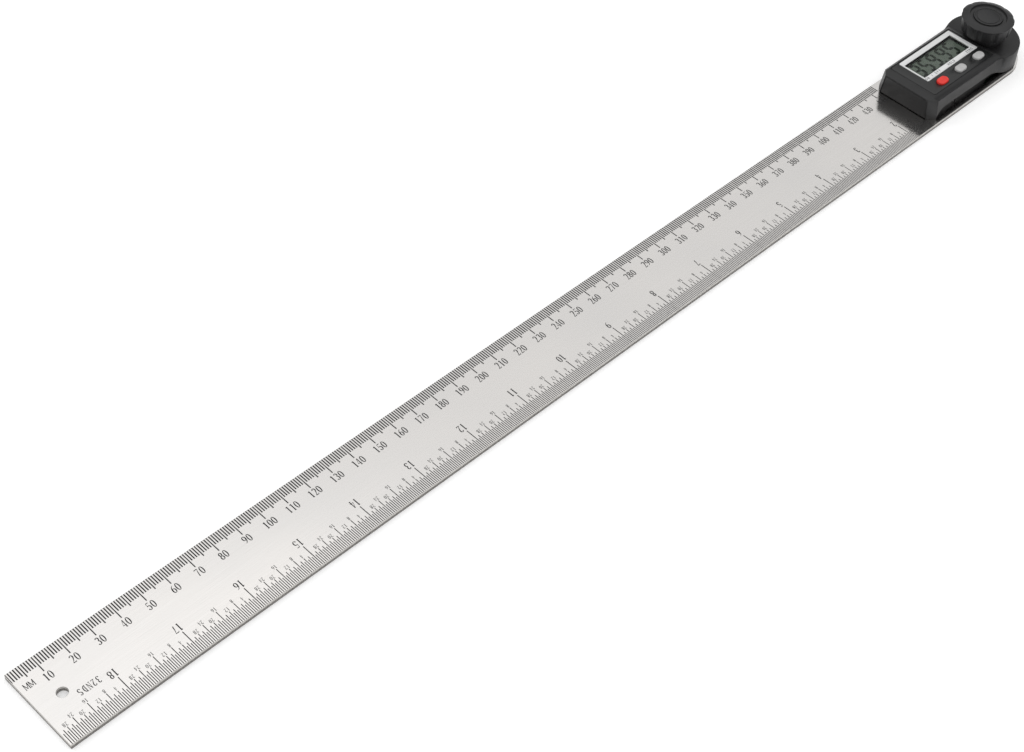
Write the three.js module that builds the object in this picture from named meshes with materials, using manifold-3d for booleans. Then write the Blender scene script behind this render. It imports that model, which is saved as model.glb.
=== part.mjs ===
// Digital angle finder with two stainless arms, in millimetres, +Z up.
// The origin is on the pivot axis, on the underside of the lower blade.
// +X runs from the free ends of the arms to the pivot, and +Y to their millimetre edge.
// The arms are closed, one exactly over the other.
import * as THREE from 'three';
import { mergeVertices, toCreasedNormals } from 'three/addons/utils/BufferGeometryUtils.js';
import Module from 'manifold-3d';

const wasm = await Module();
wasm.setup();

// Facets and shading
const roundSteps = 40;
const smallRoundSteps = 20;
const cornerSteps = 2;
const capsuleSteps = 5;
const bladeEndSteps = 12;
const creaseAngle = 0.6;
const quarterTurn = Math.PI / 2;

// Clearances
const runClearance = 0.05;
const fitClearance = 0.05;
const looseClearance = 0.15;
const slideClearance = 0.3;
const overrun = 2;

// Blades
const bladeLength = 500.4;
const bladeWidth = 35;
const bladeThickness = 1;
const bladeEdgeBreak = 0.12;
const hangHoleInset = 9.5;
const hangHoleRadius = 2;
const frictionWasherThickness = 0.2;
const frictionWasherRadius = 15;
const upperBladeBottom = bladeThickness + frictionWasherThickness;
const bladeTop = upperBladeBottom + bladeThickness;

// Pivot hub, its rivets and the ring that holds the rotor
const hubFlangeRadius = 9;
const hubSpigotRadius = 4;
const hubShoulderRadius = 6.5;
const hubShaftRadius = 5;
const hubStudRadius = 3;
const hubChamfer = 0.4;
const rivetRadius = 0.9;
const rivetCount = 4;
const rivetCircleRadius = (hubShoulderRadius + hubFlangeRadius) / 2;
const clipThickness = 0.4;
const clipWidth = 1.5;
const clipGapAngle = 0.9;

// Housing walls: heights are above the upper blade
const housingFront = -56.2;
const footHalfWidth = 15.5;
const footEndRadius = 16.7;
const shoulderHalfWidth = 14.4;
const shoulderEndRadius = 16.5;
const cornerAlong = 3.8;
const cornerAcross = 3;
const neckLength = 11.4;
const neckAngle = 0.14;
const neckReachShare = 0.5;
const neckSteps = 6;
const endSteps = 14;
const wallThickness = 1.8;
const roofThickness = 1.6;
const roundDeckHeight = 9;
const displayDeckHeight = 11;
const roundDeck = bladeTop + roundDeckHeight;
const displayDeck = bladeTop + displayDeckHeight;
const displayCeiling = displayDeck - roofThickness;

// Raised table of the display deck, with how far each slope runs for its drop, as shares of the drop
const tableFront = -52.65;
const tableRear = -9.7;
const tableHalfWidth = 12.35;
const sideRunShare = 1.05;
const frontRunShare = 3;
const rearRunShare = 2;

// Arched reliefs in the side walls
const archFront = -52.6;
const archRear = -1.2;
const archRise = 5.5;
const archFall = 13;
const archHeight = 3.8;
const archDroop = 0.5;
const archBendShare = 0.35;

// Knob boss, washer, knob, its brass insert and its cap
const bossRadius = 8.6;
const bossHeight = 2.6;
const bossTop = roundDeck + bossHeight;
const thrustWasherThickness = 0.7;
const thrustWasherRadius = 8.2;
const washerTop = bossTop + thrustWasherThickness;
const knobFootRadius = 10.7;
const knobNeckRadius = 11.3;
const knobRimRadius = 11.6;
const knobCrownRadius = 8.6;
const knobCrownHeight = 1.2;
const knobRimHeight = 0.6;
const knobRimGrooveShare = 0.4;
const knobGrooveDepth = 0.6;
const knobGrooveCount = 9;
const knobGrooveSteps = 8;
const knobGrooveStart = 0.635;
const knobGroovePower = 8;
const knobHeight = 7.4;
const knobSkirtGap = 0.5;
const knobDishRadius = 8.15;
const knobDishDepth = 1.1;
const knobHollowRadius = 9.2;
const knobRoofThickness = 2.6;
const knobHubRadius = 6.2;
const knobBottom = washerTop + knobSkirtGap;
const knobTop = knobBottom + knobHeight;
const knobCapRadius = 6.4;
const knobCapThickness = 1;
const knobCapSink = 0.5;
const knobCapRingDepth = 0.25;
const knobCapRingWidth = 0.7;
const insertRadius = 4.9;
const insertLength = 4.2;
const insertBottom = washerTop + looseClearance;
const insertTop = insertBottom + insertLength;

// Fascia, bezel, window and buttons
const fasciaThickness = 0.9;
const fasciaRim = 0.25;
const fasciaGap = 0.2;
const fasciaCorner = 0.8;
const bezelFront = -47.2;
const bezelRear = -11.2;
const bezelFarMargin = 1;
const bezelKeyGap = 3.85;
const bezelCorner = 0.4;
const bezelProud = 0.2;
const windowFront = -46.45;
const windowRear = -13.5;
const windowNearMargin = 2.45;
const windowFarMargin = 2.45;
const windowLedge = 0.6;
const windowProud = 0.1;
const buttonPitch = 13.05;
const buttonMiddle = -28.95;
const buttonMargin = 4.05;
const buttonLine = buttonMargin - tableHalfWidth;
const bezelNear = buttonLine + bezelKeyGap;
const bezelFar = tableHalfWidth - bezelFarMargin;
const windowNear = bezelNear + windowNearMargin;
const windowFar = bezelFar - windowFarMargin;
const buttonLength = 6.1;
const buttonWidth = 3.9;
const buttonCrown = 0.5;
const buttonCrownSteps = 2;
const buttonProud = 0.9;
const buttonFlange = 0.6;
const buttonFlangeThickness = 0.6;
const buttonTravel = 0.5;
const plungerRadius = 1.2;
const plungerLength = 0.15;

// Board, its screws, display glass, connectors, switches and chip
const boardThickness = 1;
const glassThickness = 1.6;
const connectorHeight = 0.55;
const connectorWidth = 1.4;
const glassTop = displayCeiling - fitClearance;
const glassBottom = glassTop - glassThickness;
const boardTop = glassBottom - connectorHeight;
const boardBottom = boardTop - boardThickness;
const glassMargin = 1.9;
const boardFront = -50.9;
const boardHalfWidth = 10.9;
const boardEndRadius = 13.2;
const boardBore = 7.4;
const postRadius = 1.6;
const boardScrewHeadRadius = 1.5;
const boardScrewHeadHeight = 0.35;
const boardScrewRadius = 0.8;
const boardScrewLength = 3;
const boardScrewPlaces = [
  { along: buttonMiddle + buttonPitch / 2, across: buttonLine - postRadius },
  { along: bezelRear + postRadius, across: boardHalfWidth - postRadius },
  { along: bezelRear + postRadius, across: postRadius - boardHalfWidth },
];
const switchSide = 4.5;
const switchRadius = 1.3;
const switchStep = 0.2;
const buttonBottom = displayCeiling - buttonFlangeThickness - 2 * fitClearance;
const switchTop = buttonBottom - plungerLength - buttonTravel - fitClearance;
const chipRadius = 4;
const chipHeight = 1;
const chipAlong = -20.4;
const chipSteps = 4;

// Rotor under the board
const rotorThickness = 0.8;
const rotorRadius = 10.2;
const rotorGap = 0.2;
const rotorTop = boardBottom - rotorGap;
const rotorBottom = rotorTop - rotorThickness;

// Screws that hold the shell, the base and the upper blade together
const caseScrewRadius = 1;
const caseScrewHeadRadius = 1.9;
const caseScrewLength = 7.6;
const caseScrewFace = upperBladeBottom + fitClearance;
const caseScrewHeadDepth = caseScrewHeadRadius - caseScrewRadius;
const caseScrewTop = caseScrewFace + caseScrewLength;
const screwBossRadius = 1.9;
const frontBossAlong = -35.6;
const frontBossAcross = 11.2;
const rearBossCircle = 12.4;
const rearBossAngle = 0.66;
const rearBossAlong = rearBossCircle * Math.cos(rearBossAngle);
const rearBossAcross = rearBossCircle * Math.sin(rearBossAngle);
const frontBossTop = boardTop - fitClearance;
const rearBossTop = roundDeck - roofThickness / 2;
const caseScrewPlaces = [
  { along: frontBossAlong, across: -frontBossAcross, bossTop: frontBossTop },
  { along: frontBossAlong, across: frontBossAcross, bossTop: frontBossTop },
  { along: rearBossAlong, across: -rearBossAcross, bossTop: rearBossTop },
  { along: rearBossAlong, across: rearBossAcross, bossTop: rearBossTop },
];

// Housing base
const baseThickness = 1.2;
const baseSideGap = 0.9;
const baseHalfWidth = footHalfWidth - wallThickness - baseSideGap;
const baseEndRadius = 14.2;
const baseUpstandThickness = 0.9;
const baseUpstandHeight = 3.6;
const baseUpstandRear = -12.4;
const baseFront = housingFront + wallThickness + looseClearance;
const baseTop = bladeTop + baseThickness;

// Battery tray, cell and its two springs
const cellRadius = 10;
const cellThickness = 3.2;
const cellLip = 0.8;
const cellLipHeight = 0.4;
const trayGap = 0.1;
const trayFloor = 0.8;
const trayRim = 0.7;
const trayRimHeight = 2.8;
const trayCorner = 2.4;
const trayDoorThickness = 1.5;
const trayDoorMargin = 0.35;
const trayDoorCorner = 0.9;
const trayDoorTopGap = 0.6;
const trayBottom = baseTop + trayGap;
const cellBottom = trayBottom + trayFloor + trayGap;
const cellTop = cellBottom + cellThickness;
const trayRimTop = cellBottom + trayRimHeight;
const cellCentre = housingFront + trayDoorThickness + trayRim + cellRadius;
const doorTop = bladeTop + displayDeckHeight - trayDoorTopGap - (tableFront - housingFront) / frontRunShare;
const springThickness = 0.25;
const springWidth = 4;
const springFoot = 4;
const springReach = 7;
const springTip = 2;
const springRelease = 0.03;

// Colours
const steelColor = 0xd2d1ce;
const turnedSteelColor = 0xb9babb;
const brassColor = 0xb8934c;
const shellColor = 0x2b2b2b;
const innerPlasticColor = 0x1f1f20;
const fasciaColor = 0x2e2f2f;
const knobColor = 0x303030;
const silverColor = 0xe8e8e6;
const glassColor = 0x6c776c;
const windowColor = 0x9aa39b;
const redColor = 0xe23b33;
const greyColor = 0xb9b9b9;
const boardColor = 0x1f5a36;
const rubberColor = 0x3a3a3c;
const washerColor = 0xd9d4c6;
const blackColor = 0x111111;

// Turns a closed geometry into a solid that can be joined and cut.
function solidOf(geometry) {
  const bare = geometry.clone();
  bare.deleteAttribute('normal');
  bare.deleteAttribute('uv');
  const merged = mergeVertices(bare);
  return new wasm.Manifold(new wasm.Mesh({
    numProp: 3,
    vertProperties: new Float32Array(merged.attributes.position.array),
    triVerts: new Uint32Array(merged.index.array),
  }));
}

// Turns a solid back into a geometry, smooth across round faces and sharp at edges.
function geometryOf(solid) {
  const mesh = solid.getMesh();
  const geometry = new THREE.BufferGeometry();
  geometry.setAttribute('position', new THREE.BufferAttribute(mesh.vertProperties, 3));
  geometry.setIndex(new THREE.BufferAttribute(mesh.triVerts, 1));
  return toCreasedNormals(geometry, creaseAngle);
}

// A flat outline raised from one height to another, its arcs in some steps, its edges broken if asked.
function plate(shape, bottom, top, arcSteps = cornerSteps, edge = 0, edgeSteps = 1) {
  const geometry = new THREE.ExtrudeGeometry(shape, {
    depth: top - bottom - 2 * edge,
    curveSegments: arcSteps,
    bevelEnabled: edge > 0,
    bevelThickness: edge,
    bevelSize: edge,
    bevelOffset: -edge,
    bevelSegments: edgeSteps,
  });
  geometry.translate(0, 0, bottom + edge);
  return solidOf(geometry);
}

// A profile of radius and height pairs turned about the pivot axis, then moved to its place.
function turned(profile, along = 0, across = 0, steps = roundSteps) {
  const points = profile.map(([radius, height]) => new THREE.Vector2(radius, height));
  const geometry = new THREE.LatheGeometry(points, steps);
  geometry.rotateX(quarterTurn);
  geometry.translate(along, across, 0);
  return solidOf(geometry);
}

// A round bar or hole between two heights.
function bar(radius, bottom, top, along = 0, across = 0, steps = roundSteps) {
  return turned([[0, bottom], [radius, bottom], [radius, top], [0, top]], along, across, steps);
}

// A ring between two radii and two heights.
function ring(inner, outer, bottom, top, steps = roundSteps) {
  return turned([[inner, bottom], [outer, bottom], [outer, top], [inner, top], [inner, bottom]], 0, 0, steps);
}

// A block given by its limits along X, Y and Z.
function block(left, right, near, far, bottom, top) {
  const geometry = new THREE.BoxGeometry(right - left, far - near, top - bottom);
  geometry.translate((left + right) / 2, (near + far) / 2, (bottom + top) / 2);
  return solidOf(geometry);
}

// A rectangle with rounded corners.
function roundedRectangle(left, right, near, far, corner) {
  const shape = new THREE.Shape();
  shape.absarc(right - corner, near + corner, corner, -quarterTurn, 0);
  shape.absarc(right - corner, far - corner, corner, 0, quarterTurn);
  shape.absarc(left + corner, far - corner, corner, quarterTurn, 2 * quarterTurn);
  shape.absarc(left + corner, near + corner, corner, 2 * quarterTurn, 3 * quarterTurn);
  return shape;
}

// An outline with two straight sides along X and two round ends.
function capsule(along, across, length, width) {
  const reach = (length - width) / 2;
  const shape = new THREE.Shape();
  shape.absarc(along + reach, across, width / 2, -quarterTurn, quarterTurn);
  shape.absarc(along - reach, across, width / 2, quarterTurn, 3 * quarterTurn);
  return shape;
}

// A solid skinned over rings of equal count, bottom ring first, each one running anticlockwise.
function loft(rings) {
  const count = rings[0].length;
  const positions = rings.flat().flatMap((point) => [point.x, point.y, point.z]);
  const faces = [];
  for (let level = 0; level + 1 < rings.length; level += 1) {
    for (let i = 0; i < count; i += 1) {
      const a = level * count + i;
      const b = level * count + ((i + 1) % count);
      faces.push(a, b, b + count, a, b + count, a + count);
    }
  }
  const flat = (points) => points.map((point) => new THREE.Vector2(point.x, point.y));
  const last = (rings.length - 1) * count;
  const bottomFaces = THREE.ShapeUtils.triangulateShape(flat(rings[0]), []);
  const topFaces = THREE.ShapeUtils.triangulateShape(flat(rings.at(-1)), []);
  bottomFaces.forEach(([a, b, c]) => faces.push(c, b, a));
  topFaces.forEach(([a, b, c]) => faces.push(last + a, last + b, last + c));
  const geometry = new THREE.BufferGeometry();
  geometry.setAttribute('position', new THREE.BufferAttribute(new Float32Array(positions), 3));
  geometry.setIndex(faces);
  return solidOf(geometry);
}

// Cuts a list of solids out of a solid.
function cut(solid, cutters) {
  return cutters.reduce((rest, cutter) => rest.subtract(cutter), solid);
}

// Joins a list of solids.
function join(solids) {
  return solids.reduce((whole, solid) => whole.add(solid));
}

// A named mesh of one solid.
function piece(name, solid, color, roughness, metalness = 0) {
  const material = new THREE.MeshStandardMaterial({ color, roughness, metalness });
  const mesh = new THREE.Mesh(geometryOf(solid), material);
  mesh.name = name;
  return mesh;
}

// A blade: straight edges, a square free end with its hanging hole, a round end about the pivot bore.
function blade(bottom, boreRadius) {
  const half = bladeWidth / 2;
  const shape = new THREE.Shape();
  shape.moveTo(-bladeLength, half);
  shape.lineTo(-bladeLength, -half);
  shape.absarc(0, 0, half, -quarterTurn, quarterTurn);
  const hangHole = new THREE.Path();
  hangHole.absarc(hangHoleInset - bladeLength, 0, hangHoleRadius, 0, 4 * quarterTurn);
  shape.holes.push(hangHole);
  const strip = plate(shape, bottom, bottom + bladeThickness, bladeEndSteps, bladeEdgeBreak);
  return strip.subtract(bar(boreRadius, bottom - overrun, bottom + bladeThickness + overrun));
}

// Places of the rivets, equally spaced about the pivot.
function rivetPlaces() {
  return Array.from({ length: rivetCount }, (_, i) => {
    const angle = (i + 1 / 2) * 4 * quarterTurn / rivetCount;
    return { along: rivetCircleRadius * Math.cos(angle), across: rivetCircleRadius * Math.sin(angle) };
  });
}

const flangeTop = bladeTop - fitClearance;

function lowerBlade() {
  const holes = rivetPlaces().map(({ along, across }) => (
    bar(rivetRadius + fitClearance, -overrun, bladeTop, along, across, smallRoundSteps)
  ));
  const strip = blade(0, hubSpigotRadius + fitClearance);
  return piece('lower_blade', cut(strip, holes), steelColor, 0.3, 1);
}

function upperBlade() {
  const strip = blade(upperBladeBottom, hubFlangeRadius + runClearance);
  const headRadius = caseScrewHeadRadius + fitClearance;
  const shankRadius = caseScrewRadius + fitClearance;
  const profile = [
    [0, upperBladeBottom - overrun],
    [headRadius, upperBladeBottom - overrun],
    [headRadius, caseScrewFace],
    [shankRadius, caseScrewFace + caseScrewHeadDepth],
    [shankRadius, bladeTop + overrun],
    [0, bladeTop + overrun],
  ];
  const holes = caseScrewPlaces.map(({ along, across }) => turned(profile, along, across, smallRoundSteps));
  return piece('upper_blade', cut(strip, holes), steelColor, 0.3, 1);
}

function caseScrew(place, number) {
  const profile = [
    [0, caseScrewFace],
    [caseScrewHeadRadius, caseScrewFace],
    [caseScrewRadius, caseScrewFace + caseScrewHeadDepth],
    [caseScrewRadius, caseScrewTop],
    [0, caseScrewTop],
  ];
  const screw = turned(profile, place.along, place.across, smallRoundSteps);
  return piece(`case_screw_${number}`, screw, turnedSteelColor, 0.35, 1);
}

function frictionWasher() {
  const bore = hubFlangeRadius + looseClearance;
  const washer = ring(bore, frictionWasherRadius, bladeThickness, upperBladeBottom);
  return piece('friction_washer', washer, washerColor, 0.6);
}

// Turned hub: spigot, flange, shoulder for the rotor, shaft and knob stud.
function pivotHub() {
  const studTop = insertTop - fitClearance;
  const shaftTop = washerTop - looseClearance;
  const body = turned([
    [0, 0],
    [hubSpigotRadius, 0],
    [hubSpigotRadius, bladeThickness],
    [hubFlangeRadius, bladeThickness],
    [hubFlangeRadius, flangeTop],
    [hubShoulderRadius, flangeTop],
    [hubShoulderRadius, rotorBottom],
    [hubShaftRadius, rotorBottom],
    [hubShaftRadius, shaftTop - hubChamfer],
    [hubShaftRadius - hubChamfer, shaftTop],
    [hubStudRadius, shaftTop],
    [hubStudRadius, studTop - hubChamfer],
    [hubStudRadius - hubChamfer, studTop],
    [0, studTop],
  ]);
  const holes = rivetPlaces().map(({ along, across }) => (
    bar(rivetRadius + fitClearance, -overrun, flangeTop + overrun, along, across, smallRoundSteps)
  ));
  return piece('pivot_hub', cut(body, holes), turnedSteelColor, 0.3, 1);
}

function hubRivet(place, number) {
  const rivet = bar(rivetRadius, 0, flangeTop, place.along, place.across, smallRoundSteps);
  return piece(`hub_rivet_${number}`, rivet, turnedSteelColor, 0.35, 1);
}

function encoderRotor() {
  const rotor = ring(hubShaftRadius + fitClearance, rotorRadius, rotorBottom, rotorTop);
  return piece('encoder_rotor', rotor, boardColor, 0.5);
}

// Open spring ring on the shaft, over the rotor.
function rotorClip() {
  const shape = new THREE.Shape();
  const inner = hubShaftRadius + fitClearance;
  const start = clipGapAngle / 2;
  const end = 4 * quarterTurn - clipGapAngle / 2;
  shape.absarc(0, 0, inner + clipWidth, start, end);
  shape.absarc(0, 0, inner, end, start, true);
  const clip = plate(shape, rotorTop, rotorTop + clipThickness, bladeEndSteps);
  return piece('rotor_clip', clip, turnedSteelColor, 0.35, 1);
}

// One level of the housing's wall: a chamfered front, straight sides, a neck and a round end.
function wallRing(height, front, half, across, endRadius) {
  const joinAngle = -quarterTurn - neckAngle;
  const joinPoint = new THREE.Vector2(Math.cos(joinAngle), Math.sin(joinAngle)).multiplyScalar(endRadius);
  const tangent = new THREE.Vector2(-Math.sin(joinAngle), Math.cos(joinAngle));
  const start = new THREE.Vector2(-neckLength, -half);
  const reach = (joinPoint.x - start.x) * neckReachShare;
  const neck = new THREE.CubicBezierCurve(
    start,
    new THREE.Vector2(start.x + reach, start.y),
    joinPoint.clone().addScaledVector(tangent, -reach),
    joinPoint,
  );
  const near = [
    new THREE.Vector2(front, across - half),
    new THREE.Vector2(front + cornerAlong, -half),
    ...neck.getPoints(neckSteps),
  ];
  for (let i = 1; i < endSteps; i += 1) {
    const angle = joinAngle * (1 - i / endSteps);
    near.push(new THREE.Vector2(endRadius * Math.cos(angle), endRadius * Math.sin(angle)));
  }
  const far = near.map((point) => new THREE.Vector2(point.x, -point.y)).reverse();
  const outline = [...near, new THREE.Vector2(endRadius, 0), ...far];
  return outline.map((point) => new THREE.Vector3(point.x, point.y, height));
}

// Space under the roof's outer surface, lowered by a drop: the flat round deck and the sloped table.
function roofSpace(drop) {
  const low = bladeTop - overrun;
  const reach = displayDeck - drop - low;
  const flat = block(housingFront - overrun, footEndRadius + overrun,
    -footEndRadius - overrun, footEndRadius + overrun, low, roundDeck - drop);
  const corners = (grow) => {
    const half = tableHalfWidth + grow * sideRunShare;
    const front = tableFront - grow * frontRunShare;
    const rear = tableRear + grow * rearRunShare;
    return [[front, -half], [rear, -half], [rear, half], [front, half]];
  };
  const levelOf = (grow, height) => corners(grow).map(([x, y]) => new THREE.Vector3(x, y, height));
  return flat.add(loft([levelOf(reach, low), levelOf(0, displayDeck - drop)]));
}

// The housing's walls, drafted up to the shoulder and straight above it, set in by a thickness.
function wallSpace(inset, bottom) {
  const draft = (shoulderHalfWidth - footHalfWidth) / roundDeckHeight;
  const endDraft = (shoulderEndRadius - footEndRadius) / roundDeckHeight;
  const depth = bottom - bladeTop;
  const across = cornerAcross;
  return loft([
    wallRing(bottom, housingFront + inset, footHalfWidth + draft * depth - inset, across,
      footEndRadius + endDraft * depth - inset),
    wallRing(roundDeck, housingFront + inset, shoulderHalfWidth - inset, across, shoulderEndRadius - inset),
    wallRing(displayDeck + overrun, housingFront + inset, shoulderHalfWidth - inset, across,
      shoulderEndRadius - inset),
  ]);
}

// The relief cut into one side wall, side being -1 for near and 1 for far.
function archCutter(side) {
  const low = -overrun;
  const flatFront = archFront + archRise;
  const flatRear = archRear - archFall;
  const rearHeight = archHeight - archDroop;
  const shape = new THREE.Shape();
  shape.moveTo(archRear, low);
  shape.lineTo(archRear, 0);
  shape.bezierCurveTo(archRear - archFall * archBendShare, 0,
    flatRear + archFall * archBendShare, rearHeight, flatRear, rearHeight);
  shape.lineTo(flatFront, archHeight);
  shape.bezierCurveTo(flatFront - archRise * archBendShare, archHeight,
    archFront, archHeight * archBendShare, archFront, 0);
  shape.lineTo(archFront, low);
  const depth = footEndRadius + overrun - (footHalfWidth - wallThickness - screwBossRadius * archBendShare);
  const geometry = new THREE.ExtrudeGeometry(shape, { depth, curveSegments: neckSteps, bevelEnabled: false });
  geometry.rotateX(quarterTurn);
  const outer = side < 0 ? depth - footEndRadius - overrun : footEndRadius + overrun;
  geometry.translate(0, outer, bladeTop);
  return solidOf(geometry);
}

// Outline of the battery tray's door, drafted as the walls are, grown at its sides and top by a clearance.
function doorShape(clearance, bottom) {
  const draft = (shoulderHalfWidth - footHalfWidth) / roundDeckHeight;
  const flatHalf = footHalfWidth - cornerAcross - trayDoorMargin + clearance;
  const halfAt = (height) => flatHalf + draft * (height - bladeTop);
  const top = doorTop + clearance;
  const corner = trayDoorCorner + clearance;
  const shape = new THREE.Shape();
  shape.moveTo(-halfAt(bottom), bottom);
  shape.lineTo(halfAt(bottom), bottom);
  shape.lineTo(halfAt(top - corner), top - corner);
  shape.quadraticCurveTo(halfAt(top), top, halfAt(top) - corner, top);
  shape.lineTo(corner - halfAt(top), top);
  shape.quadraticCurveTo(-halfAt(top), top, -halfAt(top - corner), top - corner);
  return shape;
}

// An outline in Y and Z raised along X from one place to another.
function plateAlongX(shape, left, right) {
  const geometry = new THREE.ExtrudeGeometry(shape, {
    depth: right - left,
    curveSegments: cornerSteps,
    bevelEnabled: false,
  });
  geometry.rotateX(quarterTurn);
  geometry.rotateZ(quarterTurn);
  geometry.translate(left, 0, 0);
  return solidOf(geometry);
}

function buttonPlaces() {
  return [-1, 0, 1].map((step) => buttonMiddle + step * buttonPitch);
}

// Moulded shell: drafted walls, sloped shoulders, arches, screw bosses, knob boss and the deck's openings.
function housingTop() {
  const outer = wallSpace(0, bladeTop).intersect(roofSpace(0));
  const inner = wallSpace(wallThickness, bladeTop - overrun).intersect(roofSpace(roofThickness));
  const pillars = caseScrewPlaces.map((place) => bar(
    screwBossRadius,
    baseTop + fitClearance,
    place.bossTop,
    place.along,
    place.across,
    smallRoundSteps,
  ));
  const boss = bar(bossRadius, roundDeck - roofThickness / 2, bossTop);
  const shell = join([outer.subtract(inner), boss, ...pillars]).intersect(outer.add(boss));
  const pocket = plate(
    roundedRectangle(tableFront + fasciaRim, tableRear - fasciaRim,
      fasciaRim - tableHalfWidth, tableHalfWidth - fasciaRim, fasciaCorner),
    displayDeck - fasciaThickness,
    displayDeck + overrun,
  );
  const window = block(windowFront + windowLedge, windowRear - windowLedge,
    windowNear + windowLedge, windowFar - windowLedge, displayCeiling - overrun, displayDeck);
  const keyHoles = buttonPlaces().map((along) => plate(
    capsule(along, buttonLine, buttonLength + 2 * looseClearance, buttonWidth + 2 * looseClearance),
    displayCeiling - overrun,
    displayDeck,
    capsuleSteps,
  ));
  const screwHoles = caseScrewPlaces.map(({ along, across }) => bar(
    caseScrewRadius + fitClearance,
    upperBladeBottom,
    caseScrewTop + fitClearance,
    along,
    across,
    smallRoundSteps,
  ));
  const doorway = plateAlongX(
    doorShape(looseClearance, bladeTop - overrun),
    housingFront - overrun,
    housingFront + wallThickness + looseClearance,
  );
  const trayHalf = cellRadius + trayRim + slideClearance;
  const trayWay = block(housingFront + wallThickness, housingFront + wallThickness + cornerAlong,
    -trayHalf, trayHalf, bladeTop - overrun, trayRimTop + slideClearance);
  const bore = bar(hubShaftRadius + 2 * runClearance, roundDeck - 2 * roofThickness, bossTop + overrun);
  const openings = [pocket, window, ...keyHoles, ...screwHoles, doorway, trayWay, bore];
  const cutters = [...openings, archCutter(-1), archCutter(1)];
  return piece('housing_top', cut(shell, cutters), shellColor, 0.55);
}

// Floor of the housing: hub opening, screw holes, side upstands and the posts of the board.
function housingBase() {
  const outline = (height) => wallRing(height, baseFront, baseHalfWidth, cornerAcross, baseEndRadius);
  const floor = loft([outline(bladeTop), outline(baseTop)]);
  const upstandFront = baseFront + cornerAlong;
  const upstands = [-1, 1].map((side) => {
    const outerFace = side * baseHalfWidth;
    const innerFace = side * (baseHalfWidth - baseUpstandThickness);
    const near = Math.min(outerFace, innerFace);
    const far = Math.max(outerFace, innerFace);
    const low = baseTop - baseThickness / 2;
    return block(upstandFront, baseUpstandRear, near, far, low, baseTop + baseUpstandHeight);
  });
  const posts = boardScrewPlaces.map(({ along, across }) => (
    bar(postRadius, baseTop - baseThickness / 2, boardBottom, along, across, smallRoundSteps)
  ));
  const postHoles = boardScrewPlaces.map(({ along, across }) => bar(
    boardScrewRadius + fitClearance,
    boardBottom + boardThickness - boardScrewLength - fitClearance,
    boardBottom + overrun,
    along,
    across,
    smallRoundSteps,
  ));
  const notches = caseScrewPlaces.map(({ along, across }) => (
    bar(screwBossRadius + slideClearance, baseTop, boardTop, along, across, smallRoundSteps)
  ));
  const screwHoles = caseScrewPlaces.map(({ along, across }) => (
    bar(caseScrewRadius + looseClearance, 0, boardTop, along, across, smallRoundSteps)
  ));
  const hubHole = bar(hubShoulderRadius + looseClearance, 0, boardTop);
  const base = cut(join([floor, ...upstands, ...posts]), [...notches, ...screwHoles, ...postHoles, hubHole]);
  return piece('housing_base', base, innerPlasticColor, 0.6);
}

function fasciaPlate() {
  const gap = fasciaRim + fasciaGap;
  const half = tableHalfWidth - gap;
  const sheet = plate(
    roundedRectangle(tableFront + gap, tableRear - gap, -half, half, fasciaCorner),
    displayDeck - fasciaThickness,
    displayDeck,
  );
  const frameHole = plate(
    roundedRectangle(bezelFront - fitClearance, bezelRear + fitClearance,
      bezelNear - fitClearance, bezelFar + fitClearance, bezelCorner),
    displayDeck - overrun,
    displayDeck + overrun,
  );
  const keyHoles = buttonPlaces().map((along) => plate(
    capsule(along, buttonLine, buttonLength + 2 * looseClearance, buttonWidth + 2 * looseClearance),
    displayDeck - overrun,
    displayDeck + overrun,
    capsuleSteps,
  ));
  return piece('fascia_plate', cut(sheet, [frameHole, ...keyHoles]), fasciaColor, 0.45);
}

function bezelFrame() {
  const shape = roundedRectangle(bezelFront, bezelRear, bezelNear, bezelFar, bezelCorner);
  const opening = block(windowFront, windowRear, windowNear, windowFar, displayDeck - overrun,
    displayDeck + overrun);
  const sheet = plate(shape, displayDeck - fasciaThickness, displayDeck + bezelProud);
  return piece('bezel_frame', sheet.subtract(opening), silverColor, 0.4);
}

function displayWindow() {
  const lens = block(windowFront + fitClearance, windowRear - fitClearance, windowNear + fitClearance,
    windowFar - fitClearance, displayDeck - fasciaThickness, displayDeck + windowProud);
  return piece('display_window', lens, windowColor, 0.1);
}

function lcdGlass() {
  const glass = block(windowFront - glassMargin, windowRear + glassMargin, windowNear - glassMargin,
    windowFar + glassMargin, glassBottom, glassTop);
  return piece('lcd_glass', glass, glassColor, 0.2);
}

function zebraStrip(side, number) {
  const near = side < 0 ? windowNear - glassMargin : windowFar + glassMargin - connectorWidth;
  const strip = block(windowFront, windowRear, near, near + connectorWidth, boardTop, glassBottom);
  return piece(`zebra_strip_${number}`, strip, rubberColor, 0.8);
}

// Circuit board: a tongue under the display and a disc round the pivot, cleared of the screw bosses.
function mainBoard() {
  const tongue = plate(
    roundedRectangle(boardFront, 0, -boardHalfWidth, boardHalfWidth, fasciaCorner),
    boardBottom,
    boardTop,
  );
  const disc = bar(boardEndRadius, boardBottom, boardTop);
  const bore = bar(boardBore, boardBottom - overrun, boardTop + overrun);
  const notches = caseScrewPlaces.map(({ along, across }) => bar(
    screwBossRadius + slideClearance,
    boardBottom - overrun,
    boardTop + overrun,
    along,
    across,
    smallRoundSteps,
  ));
  const screwHoles = boardScrewPlaces.map(({ along, across }) => bar(
    boardScrewRadius + looseClearance,
    boardBottom - overrun,
    boardTop + overrun,
    along,
    across,
    smallRoundSteps,
  ));
  return piece('main_board', cut(tongue.add(disc), [bore, ...notches, ...screwHoles]), boardColor, 0.5);
}

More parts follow.
